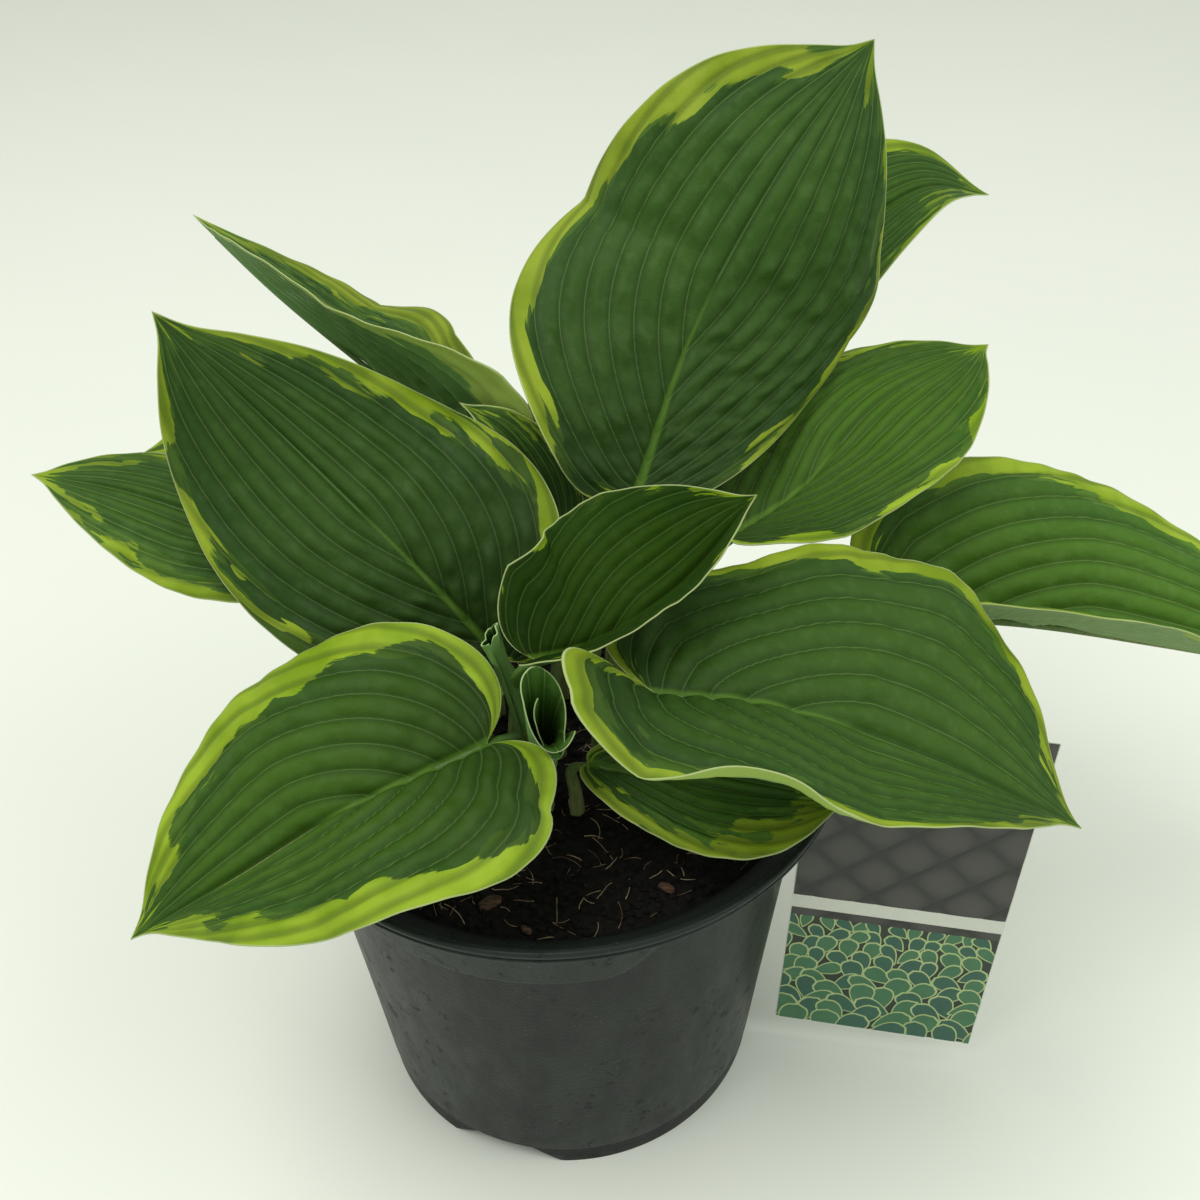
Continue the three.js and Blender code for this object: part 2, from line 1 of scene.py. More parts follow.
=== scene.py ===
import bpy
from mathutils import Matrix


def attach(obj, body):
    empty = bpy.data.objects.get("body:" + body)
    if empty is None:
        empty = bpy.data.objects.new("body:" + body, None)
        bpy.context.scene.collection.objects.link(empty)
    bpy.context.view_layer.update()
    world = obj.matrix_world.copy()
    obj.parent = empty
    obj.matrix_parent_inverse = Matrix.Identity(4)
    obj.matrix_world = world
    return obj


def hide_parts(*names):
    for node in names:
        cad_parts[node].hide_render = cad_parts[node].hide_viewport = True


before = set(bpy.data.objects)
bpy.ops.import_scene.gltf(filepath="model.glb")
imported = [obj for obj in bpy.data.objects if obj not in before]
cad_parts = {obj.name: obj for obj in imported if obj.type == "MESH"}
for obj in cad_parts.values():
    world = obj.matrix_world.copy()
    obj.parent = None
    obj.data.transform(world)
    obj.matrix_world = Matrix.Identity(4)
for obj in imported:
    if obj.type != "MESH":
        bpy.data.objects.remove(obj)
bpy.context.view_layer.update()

# A variegated hosta in a round nursery pot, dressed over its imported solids.
# Lengths in the tables are millimetres in the model's frame, and meshes are in metres.

from types import SimpleNamespace

import bpy
import numpy as np
from mathutils import Matrix

MM = 0.001

# Pot, soil and label sizes, as in the solids
POT_HEIGHT = 152
RIM_RADIUS = 95
RIM_LOW = 147.6
WALL = 1.6
FOOT_RADIUS = 71.3
FOOT_WALL = 2.4
FOOT_HEIGHT = 9
WALL_FOOT_RADIUS = 72.3
WALL_TOP_RADIUS = 82.3
WALL_LOW = FOOT_HEIGHT + 0.6
COLLAR_LOW = 122.5
WALL_FLARE = (WALL_TOP_RADIUS - WALL_FOOT_RADIUS) / (COLLAR_LOW - WALL_LOW)
COLLAR_STEP = 1.4
COLLAR_TOP_RADIUS = 85.6
COLLAR_TOP = 143.2
COLLAR_GAP_MIDDLE = -13
COLLAR_GAP_HALF = 44
COLLAR_GAP_RAMP = 22
FLOOR_UNDERSIDE = 8
FLOOR_THICK = 2
PAD_RADIUS = 20
NOTCH_ANGLES = (-109, 11, 131)
NOTCH_WIDTH = 43
NOTCH_ROOF_WIDTH = 21
NOTCH_HEIGHT = 7.6
SOIL_EDGE = 137.6
SOIL_RISE = 2.2
SOIL_RADIUS = 82.7
STEM_FOOT = 125
STEM_NECK = 142
STEM_BOW = 0.5
STEM_ARRIVAL = 0.22
STEM_SHORT_OF_JOINT = 5
STEM_TAPER = 0.62
ROW_SPREAD = 1.35
WIDEST_PLACE = 0.3
RIB_CHANNEL = 1.5
LABEL_TURN = -10.6
LABEL_SPIN = 1.1
LABEL_OFFSET = -5
LABEL_LEFT = 85
LABEL_RIGHT = 158.5
LABEL_LOW = 10.5
LABEL_HIGH = 170
LABEL_THICK = 0.8
LABEL_TOOTH = 76
LABEL_TOOTH_LOW = 141.5
RIM_GAP = 0.5
FLOOR_REACH = 2600
PRINT_GREEN_TOP = 73
PRINT_BAND_TOP = 77
PRINT_STRIPE_TOP = 84
QUILT_STEP = 22

# The camera: degrees, millimetres of lens and sensor, and its place in metres
CAMERA_PITCH = 38.1
CAMERA_ROLL = 1.35
CAMERA_LENS = 38.82
CAMERA_SENSOR = 36
CAMERA_PLACE = (0.0159, -0.315, 0.4487)

# Fineness of the meshes
RIB_STEPS = 301
BLADE_COLUMNS = 46
BLADE_ROWS = 110
BLADE_HALF_THICK = 0.32
ROLL_COLUMNS = 150
ROLL_ROWS = 60
ROLL_VEINS = 11
ROLL_LENGTH = 45
ROLL_HALF_THICK = 0.2
POT_SEGMENTS = 300
POT_STEP = 6
COLLAR_FINE_STEP = 0.45
SOIL_RINGS = 96
SOIL_SEGMENTS = 220
GRAINS = 2600
FIBRES = 420

# Values of the surface fields
FAR_INSIDE = 9.0
SEED_STEP = 3.7
ROLL_TONE = 0.3
# The rolled leaves' colour factor is painted light, to lift the shadowed insides of the rolls
ROLL_PAINTED_LIGHT = 2.2

# Half outline of a blade: share of the length ahead, share of the half's width
OUTLINE = [
    (0, 0), (-0.055, 0.12), (-0.085, 0.3), (-0.06, 0.55), (0.03, 0.8), (0.16, 0.95), (0.3, 1),
    (0.47, 0.955), (0.63, 0.8), (0.77, 0.565), (0.88, 0.29), (0.95, 0.09), (1, 0),
]


def half(width, belly=0.3, heart=0, lift=0, rise=12, curl=-25, wave=(0, 1, 0), lime=(3, 5, 2),
         turned=(0, 0.5, 0.1)):
    """One half of a blade. rise, curl and lime, the pale margin's width, are one number or
    three, for the base, the middle and the tip. turned is a strip of the edge that stands up:
    its width, middle and half length."""
    return dict(width=width, belly=belly, heart=heart, lift=lift, rise=rise, curl=curl,
                wave=wave, lime=lime, turned=turned)


def leaf(root, stem, rib, face, left, right, tone=0.4, lightness_and_painted_light=1, pucker=0.45, fine=0.75):
    """tone runs from blue-green to yellow-green, shade scales the colour, partly the leaf's own
    lightness and partly painted light and shadow for how the leaf lies in the light, pucker is the
    blisters' height between the veins, and fine scales the mesh's density."""
    return dict(root=root, stem=stem, rib=rib, face=face, left=left, right=right, tone=tone,
                lightness_and_painted_light=lightness_and_painted_light, pucker=pucker, fine=fine)


# The leaves as in the solids, with their margins and colours. Each leaf's colour factor is partly
# its own lightness and partly painted light and shadow: higher on leaves that lie in the shadow of
# others, lower on leaves that lie shaded, such as the young one in the middle.
LEAVES = {
    "leaf_tall_back": leaf(
        (11, 13), 3.2, [(29, 38, 217), (48, 66, 259), (75, 85, 303), (107, 116, 334)],
        (0.05, -0.7, 0.62),
        half(62, 0.32, 0.14, rise=(20, 5, 26), curl=(28, -62, -33), wave=(2, 3, 0.4), lime=(2, 9, 7)),
        half(62, 0.38, 0.35, rise=(21, -20, -15), curl=(-50, -30, -50), wave=(2, 2.5, 1.2),
             lime=(2, 0.8, 0.3)),
        tone=0.25, lightness_and_painted_light=1.15, pucker=1.1, fine=1),
    "leaf_upper_right_rear": leaf(
        (19, 22), 2.8, [(45, 93, 199), (86, 118, 246), (134, 144, 274), (167, 164, 264)],
        (0.1, -0.4, 0.9),
        half(38, rise=25, wave=(1.5, 2, 0), lime=(2, 3, 1)),
        half(24, rise=20, curl=-30, lime=(2, 1, 0.5)),
        tone=0.7, lightness_and_painted_light=1.15),
    "leaf_right_rear": leaf(
        (23, 7), 2.8, [(59, 31, 203), (84, 47, 211), (112, 68, 231), (152, 89, 240)],
        (-0.05, -0.2, 0.93),
        half(39, 0.31, rise=(6, 3, 2), curl=(-25, -18, -27), wave=(1.2, 2.5, 0), lime=(2, 4, 3)),
        half(37, 0.47, 0.3, rise=(22, 10, 9), curl=(-22, -24, -22), wave=(1.5, 2, 2),
             lime=(1, 1.5, 2)),
        tone=1, lightness_and_painted_light=1.15),
    "leaf_right": leaf(
        (25, -6), 3, [(114, 24, 176), (161, 21, 172), (210, 24, 158), (268, 23, 143)],
        (0, -0.3, 1),
        half(58, 0.38, -0.05, rise=(45, 37, 25), curl=(-12, -43, -42), wave=(1.5, 2.5, 0),
             lime=(5, 6, 4.5)),
        half(40, 0.31, 0.1, rise=(65, 64, 46), curl=(-12, -10, -18), wave=(1, 2, 0), lime=(3, 3, 2)),
        tone=0.85, lightness_and_painted_light=1.5, fine=1),
    "leaf_front_right": leaf(
        (15, -19), 3.2, [(30, -47, 205), (62, -51, 204), (113, -55, 183), (157, -57, 156)],
        (0.15, -0.1, 1),
        half(63, 0.5, -0.1, rise=(12, 27, 0), curl=(-35, -20, 40), wave=(2, 3.5, 1),
             lime=(4.5, 4.5, 0.8)),
        half(44, 0.2, -0.18, 1, rise=(46, -11, 28), curl=(-65, 48, 15), wave=(1.5, 2, 0),
             lime=(5.5, 2.5, 0.5), turned=(6.5, 0.2, 0.13)),
        tone=0.45, lightness_and_painted_light=1.14, fine=1),
    "leaf_centre_young": leaf(
        (1, -5), 2.6, [(-3, -35, 208), (14, -32, 211.5), (38, -21, 222), (60, -16, 250)],
        (-0.2, -0.4, 0.82),
        half(38, 0.4, rise=(20, 14, 15), curl=(12, 2, -5), wave=(1, 2, 0.5), lime=(-1, -2, -3)),
        half(19, 0.31, 0.1, rise=(65, 65, 40), curl=(-22, -17, -22), wave=(0.6, 2, 0),
             lime=-3),
        tone=0.8, lightness_and_painted_light=0.56, pucker=0.2),
    "leaf_front_left": leaf(
        (-13, -20), 3.2, [(-18, -45, 185), (-57, -60, 176), (-94, -64, 151), (-128, -69, 130)],
        (-0.3, -0.38, 0.8),
        half(45, 0.17, -0.08, rise=(28, 20, 40), curl=(-38, -6, -2), wave=(2, 3, 2.6),
             lime=(4, 9, 5)),
        half(54, 0.31, 0, rise=(26, 34, 10), curl=(-32, -58, 20), wave=(1.5, 2.5, 0),
             lime=(6, 11, 5)),
        tone=0.85, lightness_and_painted_light=1.04, fine=1),
    "leaf_left": leaf(
        (-13, -7), 3, [(-15, 0, 178), (-45, 11, 213), (-81, 30, 246), (-114, 39, 283)],
        (-0.1, -0.63, 0.71),
        half(47, 0.39, 0.13, rise=(18, 10, -3), curl=(-25, -24, -50), wave=(1.8, 3, 3.1),
             lime=(2, 4, 1.5)),
        half(50, 0.21, 0.14, rise=(19, -4, 0), curl=(-12, -29, -56), wave=(1.8, 3, 1),
             lime=(2, 7, 4)),
        tone=0.35, lightness_and_painted_light=0.86, pucker=0.8, fine=1),
    "leaf_upper_left_folded": leaf(
        (-9, 19), 2.6, [(-28, 69, 219), (-61, 84, 241), (-92, 100, 261), (-124, 129, 277)],
        (0.1, 0, 1),
        half(40, 0.2, -0.17, rise=(70, 62, 53), curl=(10, -28, -3), wave=(0.8, 2, 0),
             lime=(14, 5, 1)),
        half(38, 0.16, 0.28, rise=(57, -1, 10), curl=(18, -15, -50), wave=(1, 2, 1),
             lime=(20, 12, 1)),
        tone=0.15, lightness_and_painted_light=1.4),
    "leaf_far_left": leaf(
        (-24, 3), 2.6, [(-72, 20, 204), (-103, 28, 214), (-137, 36, 223), (-166, 40, 227)],
        (-0.08, -0.3, 0.93),
        half(27, 0.34, 0.1, rise=(5, 5, 8), curl=(-22, -22, -28), wave=(1, 2, 0), lime=(3, 4, 2)),
        half(23, 0.35, rise=(12, 5, 11), curl=(-25, -32, -35), wave=(1, 2, 1), lime=(2, 3, 2)),
        tone=0.6, lightness_and_painted_light=1.25, fine=0.6),
    "leaf_left_rear": leaf(
        (-20, 15), 2.4, [(-40, 60, 190), (-80, 74, 212), (-115, 82, 216), (-148, 88, 205)],
        (0, -0.3, 0.9),
        half(24, wave=(1, 2, 0), lime=(3, 3, 2)),
        half(24, wave=(1, 2, 1), lime=(3, 3, 2)),
        tone=0.5, fine=0.6),
    "leaf_inner_left": leaf(
        (-1, 9), 2.2, [(4, 30, 187), (-1, 38, 214), (-13, 46, 235), (-28, 52, 243)],
        (0.2, -0.6, 0.7),
        half(12, heart=0.2, rise=20, wave=(1, 2, 0), lime=1),
        half(13, heart=0.3, rise=20, wave=(1, 2, 1), lime=(0.5, 0.8, 0.5)),
        tone=0.35, fine=0.5),
    "leaf_inner_back": leaf(
        (2, 24), 2.2, [(2, 56, 188), (2, 64, 210), (-1, 70, 226), (-7, 76, 235)],
        (0, -0.8, 0.5),
        half(16, rise=30),
        half(16, rise=30),
        tone=0.5, fine=0.5),
    "leaf_low_front": leaf(
        (7, -30), 2.4, [(11, -37, 168), (32, -43, 168), (59, -49, 166), (88, -52, 164)],
        (0.05, -0.2, 1),
        half(22, 0.4, 0.35, wave=(1, 2, 0), lime=(3, 5, 6)),
        half(24, 0.42, 0.3, wave=(1, 2, 1), lime=(3, 6, 9)),
        tone=0.6, lightness_and_painted_light=1.5, fine=0.6),
}

# Which slot each leaf has
DARK_LEAVES = (
    "leaf_tall_back", "leaf_upper_right_rear", "leaf_front_right", "leaf_centre_young",
    "leaf_left", "leaf_upper_left_folded", "leaf_inner_left", "leaf_inner_back",
)
SLOTS = {name: "leaf_dark" if name in DARK_LEAVES else "leaf_bright" for name in LEAVES}

# Rolled young leaves, as in the solids
ROLLS = {
    "furled_leaf_front": dict(
        root=(-3, -28), stem=2.8, axis=[(-3, -29, 152), (-2, -36, 176), (0.5, -48.5, 204.5)],
        radii=(3.6, 8.4), start=-200, turn=540, tight=0.36, slant=(12, 120), drop=9),
    "furled_leaf_inner": dict(
        root=(-8, -14), stem=1.8, axis=[(-8, -14, 152), (-12.5, -18.5, 185), (-15.5, -29.5, 214)],
        radii=(2.3, 2.8), start=-120, turn=380, tight=0.45, slant=(3.5, 20), drop=2),
}


# Curves and meshes

def unit(vectors):
    return vectors / np.maximum(np.linalg.norm(vectors, axis=-1, keepdims=True), 1e-9)


def even_curve(points, steps):
    """Even steps along a centripetal Catmull-Rom curve through the points, and its length."""
    knots = np.array(points, float)
    knots = np.vstack([2 * knots[0] - knots[1], knots, 2 * knots[-1] - knots[-2]])
    pieces = []
    share = np.linspace(0, 1, 60, endpoint=False)[:, None]
    for a, b, c, d in zip(knots, knots[1:], knots[2:], knots[3:]):
        before, here, after = [np.linalg.norm(q - p) ** 0.5 for p, q in ((a, b), (b, c), (c, d))]
        start = ((b - a) / before - (c - a) / (before + here) + (c - b) / here) * here
        end = ((c - b) / here - (d - b) / (here + after) + (d - c) / after) * here
        pieces.append(b + start * share + (-3 * b + 3 * c - 2 * start - end) * share ** 2
                      + (2 * b - 2 * c + start + end) * share ** 3)
    dense = np.vstack(pieces + [knots[-2]])
    along = np.concatenate([[0], np.cumsum(np.linalg.norm(np.diff(dense, axis=0), axis=1))])
    even = np.linspace(0, along[-1], steps)
    return np.stack([np.interp(even, along, axis) for axis in dense.T], -1), along[-1]


def read_along(field, share):
    """The rows of field at shares 0 to 1, in between by straight lines."""
    place = np.clip(share, 0, 1) * (len(field) - 1)
    index = np.arange(len(field))
    return np.stack([np.interp(place, index, axis) for axis in field.T], -1)


OUTLINE_STEPS, _ = even_curve(OUTLINE, 400)


def mesh_object(name, points, faces, slots=None, smooth=True, **fields):
    """A mesh object in metres from points in mm. slots holds each face's material number and
    fields holds number or vector values at the points."""
    mesh = bpy.data.meshes.new(name)
    mesh.from_pydata((np.asarray(points, float) * MM).tolist(), [], [tuple(f) for f in faces])
    if slots is not None:
        mesh.polygons.foreach_set("material_index", np.asarray(slots, np.int32))
    for field, values in fields.items():
        values = np.asarray(values, np.float32)
        vector = values.ndim == 2
        attribute = mesh.attributes.new(field, "FLOAT_VECTOR" if vector else "FLOAT", "POINT")
        attribute.data.foreach_set("vector" if vector else "value", values.ravel())
    mesh.polygons.foreach_set("use_smooth", [smooth] * len(mesh.polygons))
    mesh.update()
    made = bpy.data.objects.new(name, mesh)
    bpy.context.scene.collection.objects.link(made)
    return made


def outward(points, faces):
    """The faces of a closed shape, turned to face out."""
    fans = np.array([(face[0], b, c) for face in faces for b, c in zip(face[1:], face[2:])])
    first, second, third = points[fans[:, 0]], points[fans[:, 1]], points[fans[:, 2]]
    volume = (first * np.cross(second, third)).sum()
    return faces if volume > 0 else [face[::-1] for face in faces]


def join_parts(parts):
    """Points, faces, slots and fields of several parts, as one set. A part without a field
    has zeros there."""
    points, faces, slots = [], [], []
    names = {key: values.shape[1:] for part in parts for key, values in part["fields"].items()}
    fields = {key: [] for key in names}
    count = 0
    for part in parts:
        points.append(part["points"])
        faces += [tuple(i + count for i in face) for face in part["faces"]]
        slots += part["slots"]
        for key, shape in names.items():
            blank = np.zeros((len(part["points"]), *shape))
            fields[key].append(part["fields"].get(key, blank))
        count += len(part["points"])
    return np.vstack(points), faces, slots, {k: np.concatenate(v) for k, v in fields.items()}


def shape(points, faces, slots=0, **fields):
    """A closed part for join_parts."""
    points = np.asarray(points, float)
    slots = [slots] * len(faces) if isinstance(slots, int) else list(slots)
    return dict(points=points, faces=outward(points, faces), slots=slots, fields=fields)


def ring_faces(rings, sides):
    """The faces round a stack of rings of points, with one over each end."""
    faces = [(r * sides + k, r * sides + (k + 1) % sides,
              (r + 1) * sides + (k + 1) % sides, (r + 1) * sides + k)
             for r in range(rings - 1) for k in range(sides)]
    last = (rings - 1) * sides
    return faces + [tuple(range(sides))[::-1], tuple(range(last, last + sides))]


def sheet_faces(rows, columns):
    """The faces of a grid of points, of a second grid behind it, and of the band round both."""
    wide = columns + 1
    count = (rows + 1) * wide
    front = [(r * wide + c, r * wide + c + 1, (r + 1) * wide + c + 1, (r + 1) * wide + c)
             for r in range(rows) for c in range(columns)]
    back = [tuple(i + count for i in face[::-1]) for face in front]
    border = [r * wide for r in range(rows)] + [rows * wide + c for c in range(columns)]
    border += [r * wide + columns for r in range(rows, 0, -1)] + list(range(columns, 0, -1))
    band = [(a, b, b + count, a + count) for a, b in zip(border, border[1:] + border[:1])]
    return front, back, band


def sheet_part(front, back, slots, **fields):
    """A closed part between two grids of points. slots holds the materials of the front, the
    back and the band, and fields holds three measures each, by grid point or for the part."""
    groups = sheet_faces(front.shape[0] - 1, front.shape[1] - 1)
    slots = [slot for slot, group in zip(slots, groups) for _ in group]
    for name, measures in fields.items():
        spread = np.stack([one + 0 * front[..., 0] for one in measures], -1)
        fields[name] = np.tile(spread.reshape(-1, 3), (2, 1))
    points = np.concatenate([front.reshape(-1, 3), back.reshape(-1, 3)])
    return shape(points, sum(groups, []), slots, **fields)


def tube(path, radii, sides, slot=0, groove=0.0, up=None):
    """A closed tube along a path. groove sinks its side that faces up."""
    path = np.asarray(path, float)
    tangents = unit(np.gradient(path, axis=0))
    first = np.array([1.0, 0, 0]) if up is None else np.asarray(up, float)
    sides_on = []
    for tangent in tangents:
        first = unit(first - first @ tangent * tangent)
        sides_on.append((first, np.cross(tangent, first)))
    points = []
    for centre, radius, (a, b) in zip(path, radii, sides_on):
        for k in range(sides):
            turn = 2 * np.pi * k / sides
            sunk = radius * (1 - groove * max(np.cos(turn), 0) ** 4)
            points.append(centre + sunk * (np.cos(turn) * a + np.sin(turn) * b))
    shares = np.repeat(np.linspace(0, 1, len(path)), sides)
    vein = np.stack([np.zeros_like(shares), shares, np.full_like(shares, FAR_INSIDE)], -1)
    return shape(points, ring_faces(len(path), sides), slot,
                 vein=vein, edge=np.full((len(points), 3), FAR_INSIDE))


def dress(piece, materials, slot, *nodes):
    """Gives a piece its materials and its body and hides the nodes that it stands for; slot is not
    used.
    """
    for material in materials:
        piece.data.materials.append(material)
    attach(piece, "root")
    if nodes:
        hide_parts(*nodes)
    return piece


# Materials

class Paint:
    """Short calls for a node material on one Principled shader."""

    def __init__(self, name, roughness, **fixed):
        self.material = bpy.data.materials.new(name)
        self.material.use_nodes = True
        self.nodes = self.material.node_tree.nodes
        self.links = self.material.node_tree.links
        self.shader = self.nodes["Principled BSDF"]
        self.shader.inputs["Roughness"].default_value = roughness
        for socket, value in fixed.items():
            self.shader.inputs[socket.replace("_", " ")].default_value = value

    def put(self, socket, value):
        if isinstance(value, bpy.types.NodeSocket):
            self.links.new(value, socket)
        elif value is not None:
            socket.default_value = value

    def node(self, kind, output, inputs, **settings):
        """The output of a new node, with values or links for its inputs."""
        made = self.nodes.new("ShaderNode" + kind)
        for name, value in settings.items():
            setattr(made, name, value)
        for socket, value in inputs.items():
            self.put(made.inputs[socket], value)
        return made.outputs[output]

    def maths(self, operation, *values):
        return self.node("Math", 0, dict(enumerate(values)), operation=operation)

    def add(self, *values):
        total = values[0]
        for value in values[1:]:
            total = self.maths("ADD", total, value)
        return total

    def minus(self, a, b):
        return self.maths("SUBTRACT", a, b)

    def times(self, a, b):
        return self.maths("MULTIPLY", a, b)

    def swing(self, value, size):
        """A noise of 0 to 1 turned into a swing of about this size each way."""
        return self.times(self.minus(value, 0.5), 2 * size)

    def between(self, value, low, high):
        """0 below low, 1 above high, smooth between."""
        return self.node("MapRange", 0, {"Value": value, "From Min": low, "From Max": high},
                         interpolation_type="SMOOTHSTEP")

    def fade(self, value, low, high):
        """1 below low, 0 above high, smooth between."""
        return self.minus(1, self.between(value, low, high))

    def scaled(self, colour, factor):
        """A colour multiplied by a number."""
        return self.node("VectorMath", 0, {0: colour, "Scale": factor}, operation="SCALE")

    def mix(self, share, a, b):
        return self.node("Mix", 2, {"Factor": share, 6: a, 7: b}, data_type="RGBA")

    def field(self, name, output="Fac"):
        return self.node("Attribute", output, {}, attribute_name=name)

    def split(self, vector):
        return self.node("SeparateXYZ", 0, {0: vector}).node.outputs

    def place(self):
        return self.node("TexCoord", "Object", {})

    def noise(self, vector, scale, detail=2.0, rough=0.5):
        return self.node("TexNoise", "Fac", {"Vector": vector, "Scale": scale,
                                             "Detail": detail, "Roughness": rough})

    def streaks(self, place, scales, detail, rough=0.5):
        """Noise with its own scale along each of three measures."""
        measures = [self.times(one, scale) for one, scale in zip(place, scales)]
        vector = self.node("CombineXYZ", 0, dict(enumerate(measures)))
        return self.noise(vector, 1, detail, rough)

    def cells(self, vector, scale):
        return self.node("TexVoronoi", "Distance", {"Vector": vector, "Scale": scale})

    def finish(self, colour, roughness=None, height=None, depth=0.1):
        """depth is the bump's height in mm."""
        self.put(self.shader.inputs["Base Color"], colour)
        self.put(self.shader.inputs["Roughness"], roughness)
        if height is not None:
            bump = self.node("Bump", 0, {"Distance": depth * MM, "Height": height})
            self.put(self.shader.inputs["Normal"], bump)
        return self.material


def srgb(red, green, blue):
    """A colour given as it looks on screen, 0 to 255, as the shader's linear values."""
    values = np.array([red, green, blue]) / 255
    linear = np.where(values <= 0.04045, values / 12.92, ((values + 0.055) / 1.055) ** 2.4)
    return (*linear.tolist(), 1)


def leaf_marks(p):
    """The fields of a leaf's surface, and what its margin and veins are worked out from.
    vein holds the vein count, the share from base to tip and the veins' spacing; edge holds the
    distance inside the margin, from the edge and from the rib; kind holds seed, tone and shade,
    the last a factor on the colour that is partly painted light and shadow.
    The margin ends in tongues, because each narrow lane along the veins has its own reach."""
    count, along, spacing = p.split(p.field("vein", "Vector"))
    inside, edge, rib = p.split(p.field("edge", "Vector"))
    seed, tone, lightness_and_painted_light = p.split(p.field("kind", "Vector"))
    wander = p.swing(p.streaks((count, along, seed), (2, 12, 1), 1), 0.7)
    lane = p.maths("FLOOR", p.times(p.add(count, wander), 1.8))
    tongues = p.streaks((lane, along, seed), (3.7, 7, 1), 0.5)
    drift = p.streaks((count, along, p.add(seed, 5)), (0.5, 3.2, 1), 1)
    teeth = p.streaks((count, along, seed), (9, 38, 1), 1)
    reach = p.add(inside, p.swing(tongues, 9), p.swing(drift, 7), p.swing(teeth, 1.1))
    turn = p.maths("FRACT", count)
    apart = p.minus(0.5, p.maths("ABSOLUTE", p.minus(turn, 0.5)))
    return SimpleNamespace(
        count=count, along=along, spacing=spacing, inside=inside, edge=edge, rib=rib, seed=seed,
        tone=tone, lightness_and_painted_light=lightness_and_painted_light, tongues=tongues, drift=drift, teeth=teeth, reach=reach,
        off_vein=p.times(apart, spacing))


def leaf_upper(name, specular):
    """Deep green with faint veins, a lime margin and a thin cream edge, with painted shadow along the
    veins' grooves and towards the leaf's base.
    """
    p = Paint(name, 0.5, Specular_IOR_Level=specular)
    m = leaf_marks(p)
    green = p.between(m.reach, -0.3, 0.3)
    patch = p.streaks((m.count, m.along, p.add(m.seed, 7.3)), (1.6, 8, 1), 1)
    patches = p.add(m.inside, p.swing(patch, 10), p.swing(m.tongues, 4), p.swing(m.teeth, 2), -2)
    halo = p.fade(patches, -0.4, 0.4)
    centre = p.between(p.add(m.reach, p.swing(m.drift, 8)), 2, 16)
    rim_green = p.mix(m.tone, srgb(27, 55, 20), srgb(46, 80, 14))
    mid_green = p.mix(m.tone, srgb(34, 62, 20), srgb(56, 90, 12))
    body = p.mix(centre, rim_green, mid_green)
    body = p.mix(p.times(halo, 0.6), body, srgb(74, 104, 28))
    # The colour is scaled by the leaf's factor and darkened towards the leaf's base, painted shadow
    # deep in the crown; the veins are dimmed with it.
    lightness_and_painted_light = p.times(m.lightness_and_painted_light, p.add(0.57, p.times(p.between(m.along, 0, 0.7), 0.51)))
    mottle = p.noise(p.place(), 260, 3)
    cloud = p.noise(p.place(), 38, 3)
    body = p.mix(p.times(p.between(cloud, 0.4, 0.7), 0.25), body, srgb(58, 88, 28))
    body = p.mix(p.add(0.07, p.times(p.between(mottle, 0.45, 0.75), 0.12)), body, srgb(92, 120, 66))
    lime = p.mix(p.between(cloud, 0.35, 0.65),
                 p.mix(m.tone, srgb(106, 126, 24), srgb(118, 148, 22)),
                 p.mix(m.tone, srgb(132, 148, 42), srgb(150, 178, 46)))
    coloured = p.mix(green, lime, p.scaled(body, lightness_and_painted_light))
    strength = p.times(p.between(m.spacing, 0.4, 2.6), 0.34)
    vein = p.fade(m.off_vein, 0.04, 0.28)
    vein_colour = p.scaled(srgb(122, 158, 72)[:3], p.add(0.25, p.times(lightness_and_painted_light, 0.7)))
    coloured = p.mix(p.times(vein, p.times(strength, 1.35)), coloured, vein_colour)
    # Dark bands next to each vein: painted shadow in the grooves along the veins.
    painted_groove_shadow = p.fade(m.off_vein, 0.25, 2.2)
    coloured = p.mix(p.times(painted_groove_shadow, p.times(strength, 1.1)), coloured, srgb(16, 38, 8))
    rib_width = p.minus(1.9, p.times(m.along, 3.4))
    on_rib = p.fade(p.minus(m.rib, rib_width), -0.7, 0.7)
    coloured = p.mix(p.times(on_rib, 0.45), coloured, srgb(98, 138, 46))
    rim = p.fade(m.edge, 0.1, 0.55)
    coloured = p.mix(p.times(rim, 0.8), coloured, srgb(178, 192, 132))
    shine = p.add(0.42, p.times(mottle, 0.2), p.times(vein, 0.08))
    grain = p.streaks((m.count, m.along, m.seed), (9, 260, 1), 2)
    return p.finish(coloured, shine, p.add(grain, p.times(mottle, 0.8)), 0.14)


def leaf_under():
    """The powdery grey-green back of a leaf, with raised veins."""
    p = Paint("leaf_under", 0.62, Specular_IOR_Level=0.16)
    m = leaf_marks(p)
    green = p.between(m.reach, -0.6, 0.6)
    body = p.mix(m.tone, srgb(58, 98, 36), srgb(110, 132, 88))
    bloom = p.noise(p.place(), 90, 4, 0.65)
    body = p.mix(p.times(p.between(bloom, 0.4, 0.7), 0.25), body, srgb(86, 112, 62))
    # The underside's colour is scaled by the leaf's factor too: partly its own lightness, partly
    # painted light and shadow.
    coloured = p.mix(green, srgb(146, 172, 76), p.scaled(body, m.lightness_and_painted_light))
    vein = p.fade(m.off_vein, 0.1, 0.5)
    strength = p.times(p.between(m.spacing, 0.4, 2.6), 0.4)
    coloured = p.mix(p.times(vein, strength), coloured, srgb(136, 160, 96))
    rim = p.fade(m.edge, 0.1, 0.55)
    coloured = p.mix(p.times(rim, 0.7), coloured, srgb(202, 214, 160))
    return p.finish(coloured, p.add(0.52, p.times(bloom, 0.2)), bloom, 0.12)


